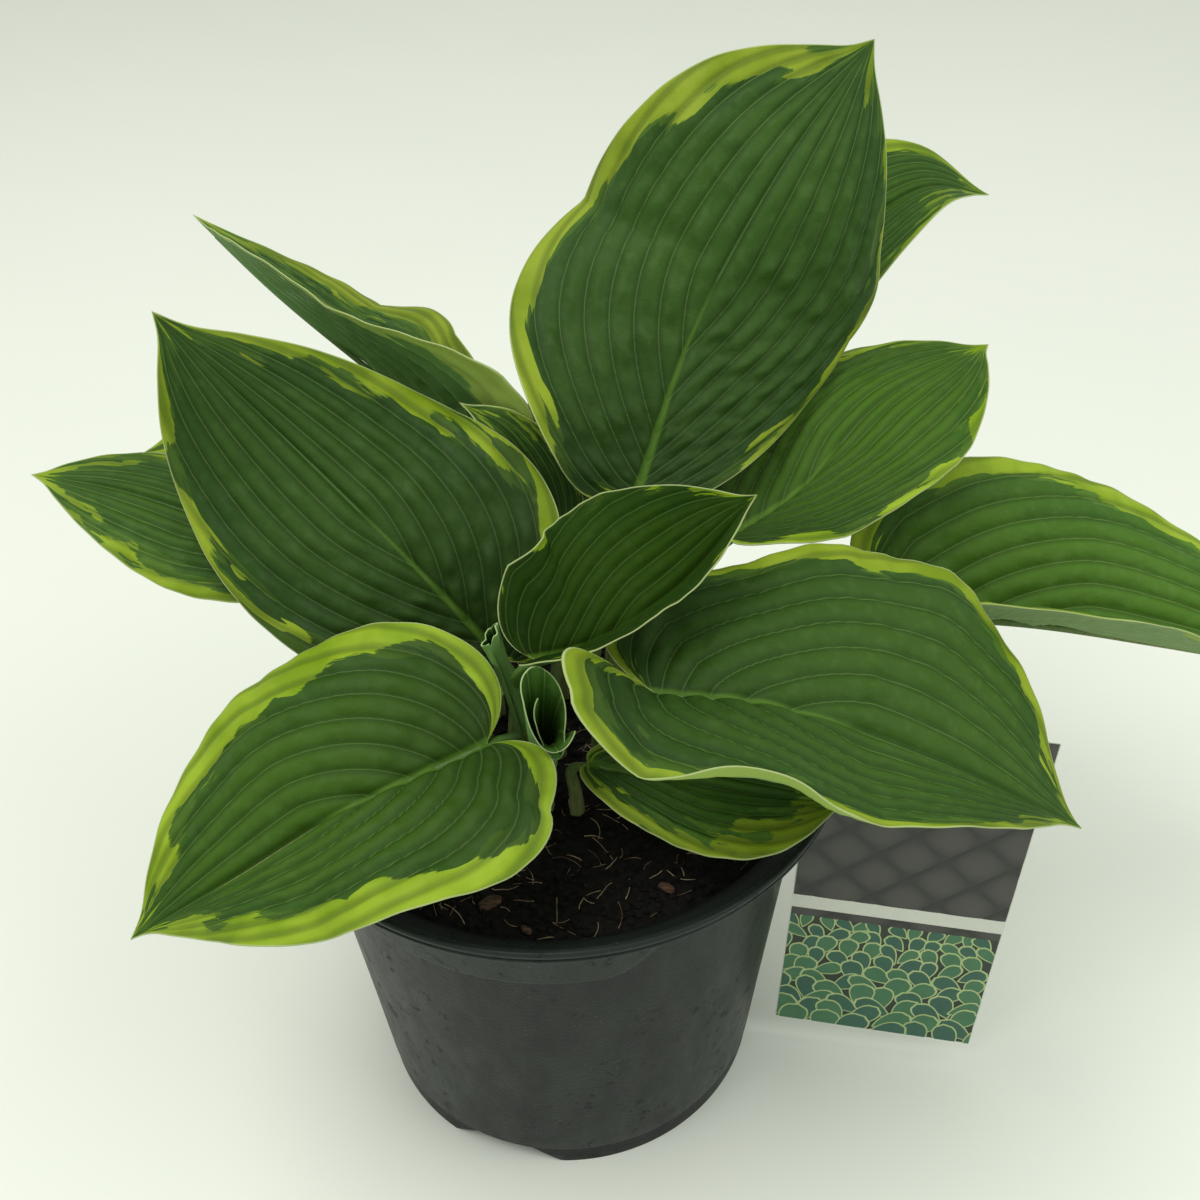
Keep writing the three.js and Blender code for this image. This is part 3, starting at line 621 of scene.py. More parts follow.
def leaf_stem():
    """Pale green stalk with fine lengthwise streaks, paler towards the soil."""
    p = Paint("leaf_stem", 0.45, Specular_IOR_Level=0.25)
    place = p.split(p.place())
    streaks = p.streaks(place, (900, 900, 60), 2)
    base = p.mix(p.between(place[2], 0.14, 0.18), srgb(146, 154, 96), srgb(74, 106, 44))
    coloured = p.mix(p.times(p.between(streaks, 0.4, 0.65), 0.4), base, srgb(58, 90, 36))
    return p.finish(coloured, p.add(0.4, p.times(streaks, 0.15)), streaks, 0.08)


def pot_plastic():
    """Recycled black plastic, dull, with pale dust and a fine moulded grain, painted shadow under the
    collar's edge and on the foot ring, and the collar and the rim's top painted paler, on the collar
    as painted light.
    """
    p = Paint("pot_plastic", 0.5, Specular_IOR_Level=0.24, Specular_Tint=(0.9, 1, 0.97, 1))
    place = p.place()
    measures = p.split(place)
    cloud = p.noise(place, 24, 4, 0.6)
    grain = p.noise(place, 900, 3)
    specks = p.cells(place, 520)
    base = p.mix(cloud, srgb(5, 10, 9), srgb(10, 17, 15))
    low = p.fade(measures[2], 0.01, 0.07)
    dust_and_painted_light = p.times(p.between(cloud, 0.4, 0.68), p.add(0.06, p.times(low, 0.2)))
    # The collar and the rim's top are painted paler as well: on the collar this is painted light,
    # setting it off from the shadowed wall under its edge
    dust_and_painted_light = p.add(dust_and_painted_light, p.times(p.field("collar"), 0.2))
    base = p.mix(dust_and_painted_light, base, srgb(66, 74, 70))
    spots = p.times(p.fade(specks, 0.05, 0.14), p.between(p.noise(place, 60, 2), 0.52, 0.62))
    base = p.mix(p.times(spots, 0.45), base, srgb(132, 136, 128))
    # Random dark patches of dirt, also rougher
    grime = p.times(p.between(p.noise(place, 210, 4, 0.7), 0.56, 0.68),
                    p.between(p.noise(place, 30, 2), 0.45, 0.6))
    base = p.mix(p.times(grime, 0.6), base, srgb(3, 4, 4))
    # Near-black under the collar's edge and on the foot ring: painted shadow under the overhangs
    base = p.mix(p.field("grime"), base, srgb(2, 2, 2))
    streaks = p.streaks(measures, (110, 110, 45), 5, 0.7)
    rough = p.add(0.37, p.times(p.between(streaks, 0.3, 0.7), 0.11), p.times(grime, 0.2))
    return p.finish(base, rough, p.add(grain, p.times(cloud, 1.5)), 0.12)


def potting_mix():
    p = Paint("potting_mix", 0.95, Specular_IOR_Level=0.25)
    place = p.place()
    lumps = p.noise(place, 420, 5, 0.65)
    fine = p.noise(place, 1600, 3, 0.6)
    tint = p.noise(place, 55, 3)
    base = p.mix(p.between(lumps, 0.35, 0.7), srgb(5, 5, 4), srgb(27, 23, 18))
    base = p.mix(p.times(p.between(tint, 0.5, 0.75), 0.5), base, srgb(20, 17, 13))
    base = p.mix(p.times(p.between(fine, 0.62, 0.72), 0.5), base, srgb(62, 52, 38))
    return p.finish(base, p.add(0.8, p.times(fine, 0.2)), p.add(lumps, p.times(fine, 0.5)), 0.8)


def root_fibre():
    p = Paint("root_fibre", 0.8)
    tint = p.noise(p.place(), 130, 3)
    coloured = p.mix(p.between(tint, 0.35, 0.65), srgb(112, 88, 60), srgb(202, 182, 144))
    return p.finish(coloured, p.add(0.7, p.times(tint, 0.2)), tint, 0.05)


def bark_chip():
    p = Paint("bark_chip", 0.9)
    grain = p.streaks(p.split(p.place()), (300, 1500, 900), 4)
    coloured = p.mix(p.between(grain, 0.35, 0.65), srgb(52, 36, 25), srgb(104, 74, 50))
    return p.finish(coloured, p.add(0.75, p.times(grain, 0.2)), grain, 0.4)


def card_board():
    """Coated card: off-white, with faint fibres."""
    p = Paint("label_card", 0.4)
    fibre = p.noise(p.place(), 700, 4, 0.7)
    coloured = p.mix(fibre, srgb(206, 210, 198), srgb(226, 228, 216))
    return p.finish(coloured, p.add(0.32, p.times(fibre, 0.14)), fibre, 0.03)


def quilted_ink():
    """Dark grey print of soft padding, its seams crossing as diamonds."""
    p = Paint("print_grey", 0.36)
    place = p.place()
    x, _, z = p.split(place)
    along = p.times(x, 1 / np.cos(np.radians(LABEL_TURN)))
    pads = []
    for ahead in (p.add(along, z), p.minus(along, z)):
        wave = p.maths("SINE", p.times(ahead, np.pi / (QUILT_STEP * MM)))
        pads.append(p.maths("ABSOLUTE", wave))
    pad = p.maths("POWER", p.times(*pads), 0.4)
    cloud = p.noise(place, 150, 4, 0.6)
    coloured = p.mix(p.between(pad, 0.25, 1), srgb(34, 35, 32), srgb(70, 70, 66))
    coloured = p.mix(p.times(cloud, 0.35), coloured, srgb(38, 38, 36))
    return p.finish(coloured, p.add(0.3, p.times(cloud, 0.16)), cloud, 0.02)


def print_ink(name, dark, light, scale):
    p = Paint(name, 0.36)
    cloud = p.noise(p.place(), scale, 4, 0.6)
    coloured = p.mix(cloud, dark, light)
    return p.finish(coloured, p.add(0.3, p.times(cloud, 0.16)), cloud, 0.02)


UPPER, UNDER, STEM = 0, 1, 2
leaf_materials = [leaf_upper("leaf_upper", 0.12), leaf_under(), leaf_stem()]
young_materials = [leaf_upper("leaf_upper_young", 0.02)] + leaf_materials[1:]


# Leaves

def rib_frames(leaf_values):
    """Points, tangents, upward normals and rightward directions along a leaf's rib."""
    points, length = even_curve(leaf_values["rib"], RIB_STEPS)
    tangents = unit(np.gradient(points, axis=0))
    face = np.array(leaf_values["face"], float)
    normals = unit(face - (tangents @ face)[:, None] * tangents)
    return dict(points=points, tangents=tangents, normals=normals,
                across=np.cross(tangents, normals), length=length)


def three_way(values, share):
    """A value given at the base, the middle and the tip, at a share of the rib's length."""
    return np.interp(share, [0, 0.45, 1], np.broadcast_to(values, 3))


def edge_line(form, length, rows):
    """A half's outline at even steps: share ahead along the rib and share of the width."""
    ahead, out = OUTLINE_STEPS.T
    bend = np.log(form["belly"]) / np.log(WIDEST_PLACE)
    ahead = np.where(ahead > 0, np.maximum(ahead, 0) ** bend, ahead)
    ahead = ahead + form["heart"] * out * (1 - np.maximum(ahead, 0)) ** 2
    steps = np.hypot(np.diff(ahead) * length, np.diff(out) * form["width"])
    walked = np.concatenate([[0], np.cumsum(steps)]) / steps.sum()
    share = np.linspace(0, 1, rows + 1)
    return np.interp(share, walked, ahead)[:, None], np.interp(share, walked, out)[:, None]


def half_sheet(values, frames, side, columns, rows):
    """A half's points by row and column, and for each its share out from the rib, its row's
    share, its share along the rib and the half's width there."""
    form = values[side]
    v = np.linspace(0, 1, rows + 1)[:, None]
    u = np.linspace(0, 1, columns + 1)[None, :]
    edge_ahead, out_share = edge_line(form, frames["length"], rows)
    share = v ** ROW_SPREAD * (1 - u) + edge_ahead * u
    inside = np.clip(share, 0, 1)
    point, tangent, normal, across = [
        read_along(frames[key], share.ravel()).reshape(*share.shape, 3)
        for key in ("points", "tangents", "normals", "across")]
    point = point + tangent * (np.minimum(share, 0) * frames["length"])[..., None]
    rise = np.radians(three_way(form["rise"], inside))
    curve = np.radians(three_way(form["curl"], inside)) / form["width"]
    curve = np.where(np.abs(curve) < 1e-5, 1e-5, curve)
    out = out_share * u * form["width"]
    sideways = (np.sin(rise + curve * out) - np.sin(rise)) / curve
    up = (np.cos(rise) - np.cos(rise + curve * out)) / curve
    swing, cycles, phase = form["wave"]
    fade = np.sqrt(np.sin(np.pi * v))
    up = up + swing * u ** 2 * fade * np.sin(2 * np.pi * cycles * edge_ahead + phase)
    ruffle = 0.13 * form["width"] ** 0.2 * u ** 4 * fade
    up = up + ruffle * np.sin(2 * np.pi * (3.3 * cycles + 2) * edge_ahead + 2 * phase)
    up = up + form["lift"] * np.maximum(-share, 0) * frames["length"]
    strip, middle, reach = form["turned"]
    strip = strip * np.exp(-((edge_ahead - middle) / reach) ** 2)
    past_fold = np.maximum(0, out - (out_share * form["width"] - strip))
    sideways = sideways - 0.55 * past_fold
    up = up + 0.95 * past_fold
    sign = -1 if side == "left" else 1
    point = point + across * (sign * sideways)[..., None] + normal * up[..., None]
    return point, u + 0 * v, v + 0 * u, inside, out_share * form["width"] + 0 * u


def channel_depth(along, from_base):
    """How deep the rib lies in the blade's upper face, in mm."""
    return RIB_CHANNEL * (1 - along) ** 0.8 * np.clip(6 * from_base, 0, 1)


def vein_pattern(values, side, u, v, inside, half_width, rng):
    """The vein count, margin distances and relief over a half sheet."""
    form = values[side]
    veins = 9 if half_width.max() > 30 else 7
    joined = 0.62 * veins * np.maximum(0, 1 - v / 0.55) ** 1.4
    at_edge = veins * (1 - 0.5 * v ** 1.5)
    count = joined + u * (at_edge - joined)
    spacing = half_width / np.maximum(at_edge - joined, 1)
    from_edge = (1 - u) * half_width
    from_rib = u * half_width
    margin = three_way(form["lime"], inside)
    margin = margin * np.clip(half_width / (0.35 * form["width"]), 0.15, 1)
    phases = rng.uniform(0, 2 * np.pi, (veins + 2, 3))
    cell = np.clip(count.astype(int), 0, veins + 1)
    blisters = sum(np.sin(2 * np.pi * waves * v + phases[cell, k]) / (k + 1)
                   for k, waves in enumerate((9, 15, 22)))
    crown = np.abs(np.sin(np.pi * count)) ** 0.7
    body = np.sin(np.pi * np.clip(v, 0, 1)) ** 0.5 * (1 - u ** 6)
    size = np.clip(spacing / 5, 0, 1.2)
    relief = 1.5 * (crown - 0.55) * body * size
    near_base = 0.35 + 0.65 * np.clip(1.25 - 1.4 * v, 0, 1)
    beside_rib = np.clip(from_rib / 5 - 0.3, 0, 1)
    relief += (values["pucker"] * blisters * np.sin(np.pi * count) ** 2 * body * size
               * near_base * beside_rib)
    relief -= channel_depth(inside, v) * np.exp(-(from_rib / 1.7) ** 2)
    return count, spacing, from_edge, from_rib, margin, relief


def blade_part(values, frames, seed):
    """The upper and under sheets of a blade and the band round its edge."""
    rng = np.random.default_rng(seed)
    columns = round(BLADE_COLUMNS * values["fine"])
    rows = round(BLADE_ROWS * values["fine"])
    sheets = {}
    for side in ("left", "right"):
        point, u, v, inside, width = half_sheet(values, frames, side, columns, rows)
        sheets[side] = (point, v, *vein_pattern(values, side, u, v, inside, width, rng))
    joined = [np.concatenate([left[:, ::-1], right[:, 1:]], axis=1)
              for left, right in zip(sheets["left"], sheets["right"])]
    point, v, count, spacing, from_edge, from_rib, margin, relief = joined
    ahead = np.gradient(point, axis=0)
    aside = np.gradient(point, axis=1)
    normal = unit(np.cross(aside, ahead))
    normal[0], normal[-1] = normal[1], normal[-2]
    upward = read_along(frames["normals"], v.ravel()).reshape(point.shape)
    normal = normal * np.sign((normal * upward).sum())
    thick = (BLADE_HALF_THICK * (0.5 + 0.5 * np.clip(from_edge / 3, 0, 1)))[..., None]
    middle = point + normal * relief[..., None]
    return sheet_part(middle + thick * normal, middle - thick * normal, (UPPER, UNDER, UPPER),
                      vein=(count, v, spacing), edge=(from_edge - margin, from_edge, from_rib),
                      kind=(seed * SEED_STEP, values["tone"], values["lightness_and_painted_light"]))


def bezier(a, b, c, d, steps):
    share = np.linspace(0, 1, steps)[:, None]
    return (a * (1 - share) ** 3 + 3 * b * share * (1 - share) ** 2
            + 3 * c * share ** 2 * (1 - share) + d * share ** 3)


def stem_part(values, frames):
    """The stalk from the soil to the blade, going on as the rib's keel under it."""
    root_x, root_y = values["root"]
    foot = np.array([root_x, root_y, STEM_FOOT], float)
    neck = np.array([root_x, root_y, STEM_NECK], float)
    joint, tangent = frames["points"][0], frames["tangents"][0]
    arrival = unit(tangent + unit(joint - neck))
    end = joint - STEM_SHORT_OF_JOINT * arrival
    reach = np.linalg.norm(end - neck)
    rise = neck + [0, 0, STEM_BOW * reach]
    stalk = bezier(neck, rise, end - STEM_ARRIVAL * reach * arrival, end, 26)
    stalk_radii = values["stem"] * np.linspace(1, STEM_TAPER, len(stalk))
    shares = np.linspace(0.02, 0.9, 34)
    keel_radii = np.interp(shares, [0.02, 0.62, 0.9], [0.6 * values["stem"], 0.75, 0.35])
    keel = read_along(frames["points"], shares)
    # The keel's top stays inside the blade, also where the rib lies deep in it
    under = 0.75 * keel_radii + 0.3 + 0.85 * channel_depth(shares, shares)
    keel = keel - read_along(frames["normals"], shares) * under[:, None]
    path = np.vstack([foot, stalk, keel])
    radii = np.concatenate([[values["stem"]], stalk_radii, keel_radii])
    return tube(path, radii, 14, STEM, 0.35, frames["normals"][0])


def make_leaf(name, values, seed):
    frames = rib_frames(values)
    points, faces, slots, fields = join_parts(
        [blade_part(values, frames, seed), stem_part(values, frames)])
    piece = mesh_object(name + "_look", points, faces, slots, **fields)
    materials = young_materials if name == "leaf_centre_young" else leaf_materials
    return dress(piece, materials, SLOTS[name], name)


def make_roll(name, values, seed):
    """A rolled young leaf: a sheet wound round its axis, open at the top."""
    axis, _ = even_curve(values["axis"], RIB_STEPS)
    level = np.linspace(0, 1, ROLL_ROWS + 1)[:, None]
    turned = np.linspace(0, 1, ROLL_COLUMNS + 1)[None, :]
    angle = np.radians(values["start"] + values["turn"] * turned)
    slant, high = values["slant"]
    centre = read_along(axis, level[:, 0])[:, None, :]
    opening = values["tight"] + (1 - values["tight"]) * turned
    low, wide_radius = values["radii"]
    radius = (low + (wide_radius - low) * level ** 1.4) * opening
    pleat = 0.22 * (np.abs(np.sin(np.pi * ROLL_VEINS * turned)) ** 0.7 - 0.5) * np.sqrt(level)
    ripple = 0.5 * level ** 6 * np.sin(2 * np.pi * 5 * turned + seed)
    radius = radius + pleat + ripple
    lean = slant * np.cos(angle - np.radians(high)) * level ** 3
    drop = -values["drop"] * level ** 4 * (1 - turned)
    offset = np.stack([radius * np.cos(angle), radius * np.sin(angle), lean + drop], -1)
    point = centre + offset
    outward_side = np.stack([np.cos(angle), np.sin(angle), 0 * angle], -1) + 0 * point
    gap = 2 * np.pi * radius * values["turn"] / 360 / ROLL_VEINS
    from_tip = (1 - level) * ROLL_LENGTH
    # The roll's colour factor is painted light for its shadowed inside
    blade = sheet_part(point + ROLL_HALF_THICK * outward_side,
                       point - ROLL_HALF_THICK * outward_side, (UNDER, UPPER, UNDER),
                       vein=(ROLL_VEINS * turned, level, gap),
                       edge=(from_tip + FAR_INSIDE, from_tip + 0.25, FAR_INSIDE),
                       kind=(seed * SEED_STEP, ROLL_TONE, ROLL_PAINTED_LIGHT))
    root_x, root_y = values["root"]
    path = np.array([[root_x, root_y, STEM_FOOT], [root_x, root_y, STEM_NECK],
                     axis[12], axis[48]], float)
    path, _ = even_curve(path, 20)
    radii = np.interp(np.linspace(0, 1, 20), [0, 0.5, 1], [values["stem"], values["stem"], low])
    points, faces, slots, fields = join_parts([blade, tube(path, radii, 16, STEM)])
    piece = mesh_object(name + "_look", points, faces, slots, **fields)
    return dress(piece, leaf_materials, "leaf_young", name)


# Pot

def collar_low(angle):
    """The height where the collar starts: it runs out under the rim on the label's side."""
    turn = abs((np.degrees(angle) - COLLAR_GAP_MIDDLE + 180) % 360 - 180)
    share = np.clip((COLLAR_GAP_HALF + COLLAR_GAP_RAMP - turn) / COLLAR_GAP_RAMP, 0, 1)
    return COLLAR_LOW + (COLLAR_TOP - COLLAR_LOW) * share * share * (3 - 2 * share)


def notch_rise(angle, arc_radius):
    """How high the foot's edge stands off the ground at an angle, in radians."""
    high = 0.0
    for middle in NOTCH_ANGLES:
        turn = (np.degrees(angle) - middle + 180) % 360 - 180
        off = abs(np.radians(turn)) * arc_radius
        side = (NOTCH_WIDTH - NOTCH_ROOF_WIDTH) / 2
        high = max(high, NOTCH_HEIGHT * np.clip((NOTCH_WIDTH / 2 - off) / side, 0, 1))
    return high


def rounded(profile, radius=0.45, steps=4):
    """The profile's corners rounded by a small radius."""
    points = [profile[0]]
    for a, b, c in zip(profile, profile[1:], profile[2:]):
        a, b, c = [np.array(p, float) for p in (a, b, c)]
        reach_back = min(radius, 0.4 * np.linalg.norm(a - b))
        reach_on = min(radius, 0.4 * np.linalg.norm(c - b))
        start = b + (a - b) / max(np.linalg.norm(a - b), 1e-9) * reach_back
        end = b + (c - b) / max(np.linalg.norm(c - b), 1e-9) * reach_on
        for k in range(steps + 1):
            s = k / steps
            points.append(tuple(start * (1 - s) ** 2 + 2 * b * s * (1 - s) + end * s ** 2))
    return points + [profile[-1]]


def subdivided(profile, longest):
    points = [profile[0]]
    for a, b in zip(profile, profile[1:]):
        a, b = np.array(a, float), np.array(b, float)
        pieces = max(1, int(np.ceil(np.linalg.norm(b - a) / longest)))
        points += [tuple(a + (b - a) * (k + 1) / pieces) for k in range(pieces)]
    return points


def make_pot():
    """The pot turned from a profile, with its collar and notches set by the angle."""
    outer = [
        (PAD_RADIUS, 0), (PAD_RADIUS + 8, FLOOR_UNDERSIDE),
        (FOOT_RADIUS - FOOT_WALL, FLOOR_UNDERSIDE), (FOOT_RADIUS - FOOT_WALL, 0),
        (FOOT_RADIUS, 0), (FOOT_RADIUS, FOOT_HEIGHT), (WALL_FOOT_RADIUS, WALL_LOW),
        (WALL_TOP_RADIUS - 3 * WALL_FLARE, COLLAR_LOW - 3), (WALL_TOP_RADIUS, COLLAR_LOW),
        (COLLAR_TOP_RADIUS, COLLAR_TOP), (RIM_RADIUS - 3.5, RIM_LOW - 1.2),
        (RIM_RADIUS - 1.2, RIM_LOW - 0.2),
        (RIM_RADIUS - 0.2, RIM_LOW + 0.5), (RIM_RADIUS - 0.2, RIM_LOW + 1.3),
        (RIM_RADIUS - 0.9, RIM_LOW + 1.7), (RIM_RADIUS - 0.9, RIM_LOW + 2.1),
        (RIM_RADIUS, RIM_LOW + 2.5), (RIM_RADIUS, POT_HEIGHT - 0.7),
        (RIM_RADIUS - 0.7, POT_HEIGHT), (RIM_RADIUS - 2.2, POT_HEIGHT),
        (RIM_RADIUS - 3, POT_HEIGHT - 1.2),
    ]
    inner = [
        (COLLAR_TOP_RADIUS - WALL, COLLAR_TOP + 1.4), (WALL_TOP_RADIUS - WALL, COLLAR_LOW),
        (WALL_FOOT_RADIUS - WALL, FLOOR_UNDERSIDE + FLOOR_THICK),
        (PAD_RADIUS + 7, FLOOR_UNDERSIDE + FLOOR_THICK), (PAD_RADIUS - 1, FLOOR_THICK),
    ]
    profile = rounded([(0, 0)] + outer + inner + [(0, FLOOR_THICK)])
    wall_foot = next(i for i, point in enumerate(profile) if point[1] > COLLAR_LOW - 2.5)
    wall_head = next(i for i, point in enumerate(profile) if point[1] > COLLAR_TOP - 0.5)
    profile = (subdivided(profile[:wall_foot], POT_STEP)
               + subdivided(profile[wall_foot - 1:wall_head + 1], COLLAR_FINE_STEP)[1:]
               + subdivided(profile[wall_head:], POT_STEP)[1:])[1:-1]
    angles = np.linspace(0, 2 * np.pi, POT_SEGMENTS, endpoint=False)
    points, grime, collar = [], [], []
    past_collar = False
    for radius, z in profile:
        past_collar = past_collar or z > COLLAR_TOP
        on_wall = not past_collar and radius > FOOT_RADIUS
        for angle in angles:
            low = z
            if radius > FOOT_RADIUS - FOOT_WALL - 1 and z < FOOT_HEIGHT:
                high = notch_rise(angle, FOOT_RADIUS)
                low = max(z, high + 0.04 * z) if high else z
            wobble = 0.18 * np.sin(3 * angle + 0.02 * z) * np.clip(z / 60, 0, 1)
            out = radius + (wobble if radius > PAD_RADIUS + 9 else 0)
            if on_wall and z > COLLAR_LOW - 3:
                wall = WALL_TOP_RADIUS + (z - COLLAR_LOW) * WALL_FLARE
                step = np.clip((z - collar_low(angle)) / 0.9, 0, 1)
                out = wall + COLLAR_STEP * step + wobble
            # Painted shadow: a dark band under the collar's edge, and on the foot ring under the
            # wall's overhang
            under_edge = on_wall and -1.6 < z - collar_low(angle) < 0.6
            grime.append(0.8 if under_edge or (radius <= FOOT_RADIUS and z < FOOT_HEIGHT) else 0)
            # The collar and the rim's top, painted paler in the plastic: on the collar this is
            # painted light
            on_rim = past_collar and radius > COLLAR_TOP_RADIUS and z > COLLAR_TOP
            collar.append(float(on_rim or (on_wall and z > collar_low(angle))))
            points.append((out * np.cos(angle), out * np.sin(angle), low))
    pot = shape(points, ring_faces(len(profile), POT_SEGMENTS))
    piece = mesh_object("pot_look", pot["points"], pot["faces"], grime=np.array(grime),
                        collar=np.array(collar))
    return dress(piece, [pot_plastic()], "pot_plastic", "pot")


# Soil

def soil_height(x, y):
    """The bedding surface, with rough lumps."""
    share = np.hypot(x, y) / SOIL_RADIUS
    dome = SOIL_EDGE + SOIL_RISE * (1 - share ** 2)
    broad = 0.9 * np.sin(0.11 * x + 1) * np.cos(0.13 * y)
    rough = sum(size * np.sin(turn_x * x + phase) * np.sin(turn_y * y + 1.7 * phase)
                for size, turn_x, turn_y, phase in (
                    (0.5, 0.37, 0.29, 0.4), (0.4, 0.61, 0.73, 2.1), (0.3, 1.13, 0.97, 4.2)))
    return dome + broad + rough * np.clip((1 - share) * 6, 0.2, 1)


def granule(rng, place, size):
    """A lumpy grain: a six-sided spindle with uneven corners."""
    turn = rng.uniform(0, 2 * np.pi)
    points = [place + [0, 0, -0.6 * size * rng.uniform(0.7, 1.1)]]
    for level, wide in ((-0.3, 0.75), (0.2, 0.85)):
        for k in range(6):
            angle = turn + 2 * np.pi * (k + 0.5 * (level > 0)) / 6
            reach = size * wide * rng.uniform(0.75, 1.2)
            points.append(place + [reach * np.cos(angle), 0.8 * reach * np.sin(angle),
                                   size * (level + rng.uniform(-0.12, 0.12))])
    points.append(place + [0, 0, 0.6 * size * rng.uniform(0.7, 1.1)])
    faces = []
    for k in range(6):
        on = (k + 1) % 6
        faces += [(0, 1 + on, 1 + k), (1 + k, 1 + on, 7 + k), (1 + on, 7 + on, 7 + k),
                  (7 + k, 7 + on, 13)]
    return shape(points, faces, 0)


def fibre(rng, place, length, thick, slot):
    heading = rng.uniform(0, 2 * np.pi)
    bend = rng.uniform(-1.5, 1.5)
    steps = 7
    path = [np.array(place, float)]
    for k in range(steps):
        turn = heading + bend * k / steps
        lift = 0.25 * rng.uniform(-1, 1)
        step = np.array([np.cos(turn), np.sin(turn), lift]) * length / steps
        path.append(path[-1] + step)
    path = np.array(path)
    path[:, 2] = np.maximum(path[:, 2], soil_height(path[:, 0], path[:, 1]) + thick)
    return tube(path, np.full(len(path), thick), 5, slot)


def chip(place, size, turn, slot):
    """A flat splinter of bark."""
    length, wide, high = size
    outline = [(-0.5, -0.3), (-0.2, -0.5), (0.35, -0.42), (0.5, 0.05), (0.3, 0.45),
               (-0.1, 0.5), (-0.45, 0.3)]
    points = []
    for z, grow in ((-0.5, 0.85), (0, 1), (0.5, 0.85)):
        for x, y in outline:
            across, forward = x * length * grow, y * wide * grow
            points.append(np.array(place) + [across * np.cos(turn) - forward * np.sin(turn),
                                             across * np.sin(turn) + forward * np.cos(turn),
                                             z * high])
    return shape(points, ring_faces(3, len(outline)), slot)


def soil_bed():
    rings, segments = SOIL_RINGS, SOIL_SEGMENTS
    points = [(0, 0, float(soil_height(0, 0)))]
    for r in range(1, rings + 1):
        radius = SOIL_RADIUS * r / rings
        for k in range(segments):
            angle = 2 * np.pi * k / segments
            x, y = radius * np.cos(angle), radius * np.sin(angle)
            points.append((x, y, float(soil_height(x, y))))
    last = 1 + (rings - 1) * segments
    for k in range(segments):
        x, y, _ = points[last + k]
        points.append((0.97 * x, 0.97 * y, COLLAR_LOW))
    faces = [(0, 1 + k, 1 + (k + 1) % segments) for k in range(segments)]
    for r in range(rings):
        start = 1 + r * segments
        faces += [(start + k, start + segments + k, start + segments + (k + 1) % segments,
                   start + (k + 1) % segments) for k in range(segments)]
    bottom = 1 + rings * segments
    faces.append(tuple(bottom + k for k in range(segments))[::-1])
    return shape(points, faces, 0)


def scattered(rng, reach):
    """A place on the bed, within a share of its radius."""
    radius = SOIL_RADIUS * reach * np.sqrt(rng.uniform())
    angle = rng.uniform(0, 2 * np.pi)
    x, y = radius * np.cos(angle), radius * np.sin(angle)
    return np.array([x, y, soil_height(x, y)])


def make_soil():
    rng = np.random.default_rng(12)
    parts = [soil_bed()]
    for _ in range(GRAINS):
        place = scattered(rng, 0.985)
        size = 0.6 + 1.6 * rng.uniform() ** 2.2
        parts.append(granule(rng, place + [0, 0, 0.2 * size], size))
    for _ in range(FIBRES):
        place = scattered(rng, 0.95) + [0, 0, 0.5]
        parts.append(fibre(rng, place, rng.uniform(2.5, 11), rng.uniform(0.06, 0.14), 1))
    for x, y, length, wide, turn in ((-19, -66, 8, 4.5, 0.5), (-52, -40, 5, 2.5, 1.9),
                                     (34, -62, 6, 3, -0.6), (-8, -76, 4, 2.2, 2.4),
                                     (55, 10, 6, 3, 1.1), (-40, 52, 7, 3, 0.2)):
        place = [x, y, float(soil_height(x, y)) + 1]
        parts.append(chip(place, (length, wide, 1.6), turn, 2))
    points, faces, slots, _ = join_parts(parts)
    piece = mesh_object("soil_look", points, faces, slots)
    return dress(piece, [potting_mix(), root_fibre(), bark_chip()], "potting_mix", "soil")


# Label

def to_label(points):
    """Points given as along, depth and height on the label, in the model's frame."""
    points = np.asarray(points, float)
    along, depth, z = points[..., 0], points[..., 1], points[..., 2]
    turn, spin = np.radians([LABEL_TURN, LABEL_SPIN])
    out, high = along - RIM_RADIUS, z - RIM_LOW
    along = RIM_RADIUS + out * np.cos(spin) + high * np.sin(spin)
    z = RIM_LOW + high * np.cos(spin) - out * np.sin(spin)
    y = LABEL_OFFSET + depth
    return np.stack([along * np.cos(turn) - y * np.sin(turn),
                     along * np.sin(turn) + y * np.cos(turn), z], -1)


def flat_shape(outline, front, back, slot):
    """A plate with this outline between two depths on the label."""
    points = [(a, depth, z) for depth in (back, front) for a, z in outline]
    return shape(to_label(points), ring_faces(2, len(outline)), slot)


def relief_block(left, right, low, high, front, slot, height_at):
    """A printed block with a fine relief over it."""
    columns, rows = 2 * int(right - left), 2 * int(high - low)
    along = np.linspace(left, right, columns + 1)
    up = np.linspace(low, high, rows + 1)
    along, up = np.meshgrid(along, up)
    depths = front - height_at(along, up) + 0 * along, front + 0.1 + 0 * along
    grids = [to_label(np.stack([along, depth, up], -1)) for depth in depths]
    return sheet_part(*grids, (slot, slot, slot))


def quilt(along, z):
    """Soft diamonds, for the padded look of the dark block."""
    a, b = (along + z) / QUILT_STEP, (along - z) / QUILT_STEP
    return 0.3 * abs(np.sin(np.pi * a) * np.sin(np.pi * b)) ** 0.4


def leaf_motif(x, z, length, wide, turn):
    """The outline of a plain pointed leaf, its tip along the turn."""
    outline = []
    for k in range(24):
        share = k / 12 if k <= 12 else (24 - k) / 12
        side = 1 if k <= 12 else -1
        out = side * 0.5 * np.sin(np.pi * share ** 0.62) ** 0.8
        along = share - 0.5
        outline.append((x + length * along * np.cos(turn) - wide * out * np.sin(turn),
                        z + length * along * np.sin(turn) + wide * out * np.cos(turn)))
    return outline


def within(outline, left, right, low, high):
    """The outline pressed inside a rectangle."""
    return [(float(np.clip(a, left, right)), float(np.clip(b, low, high))) for a, b in outline]


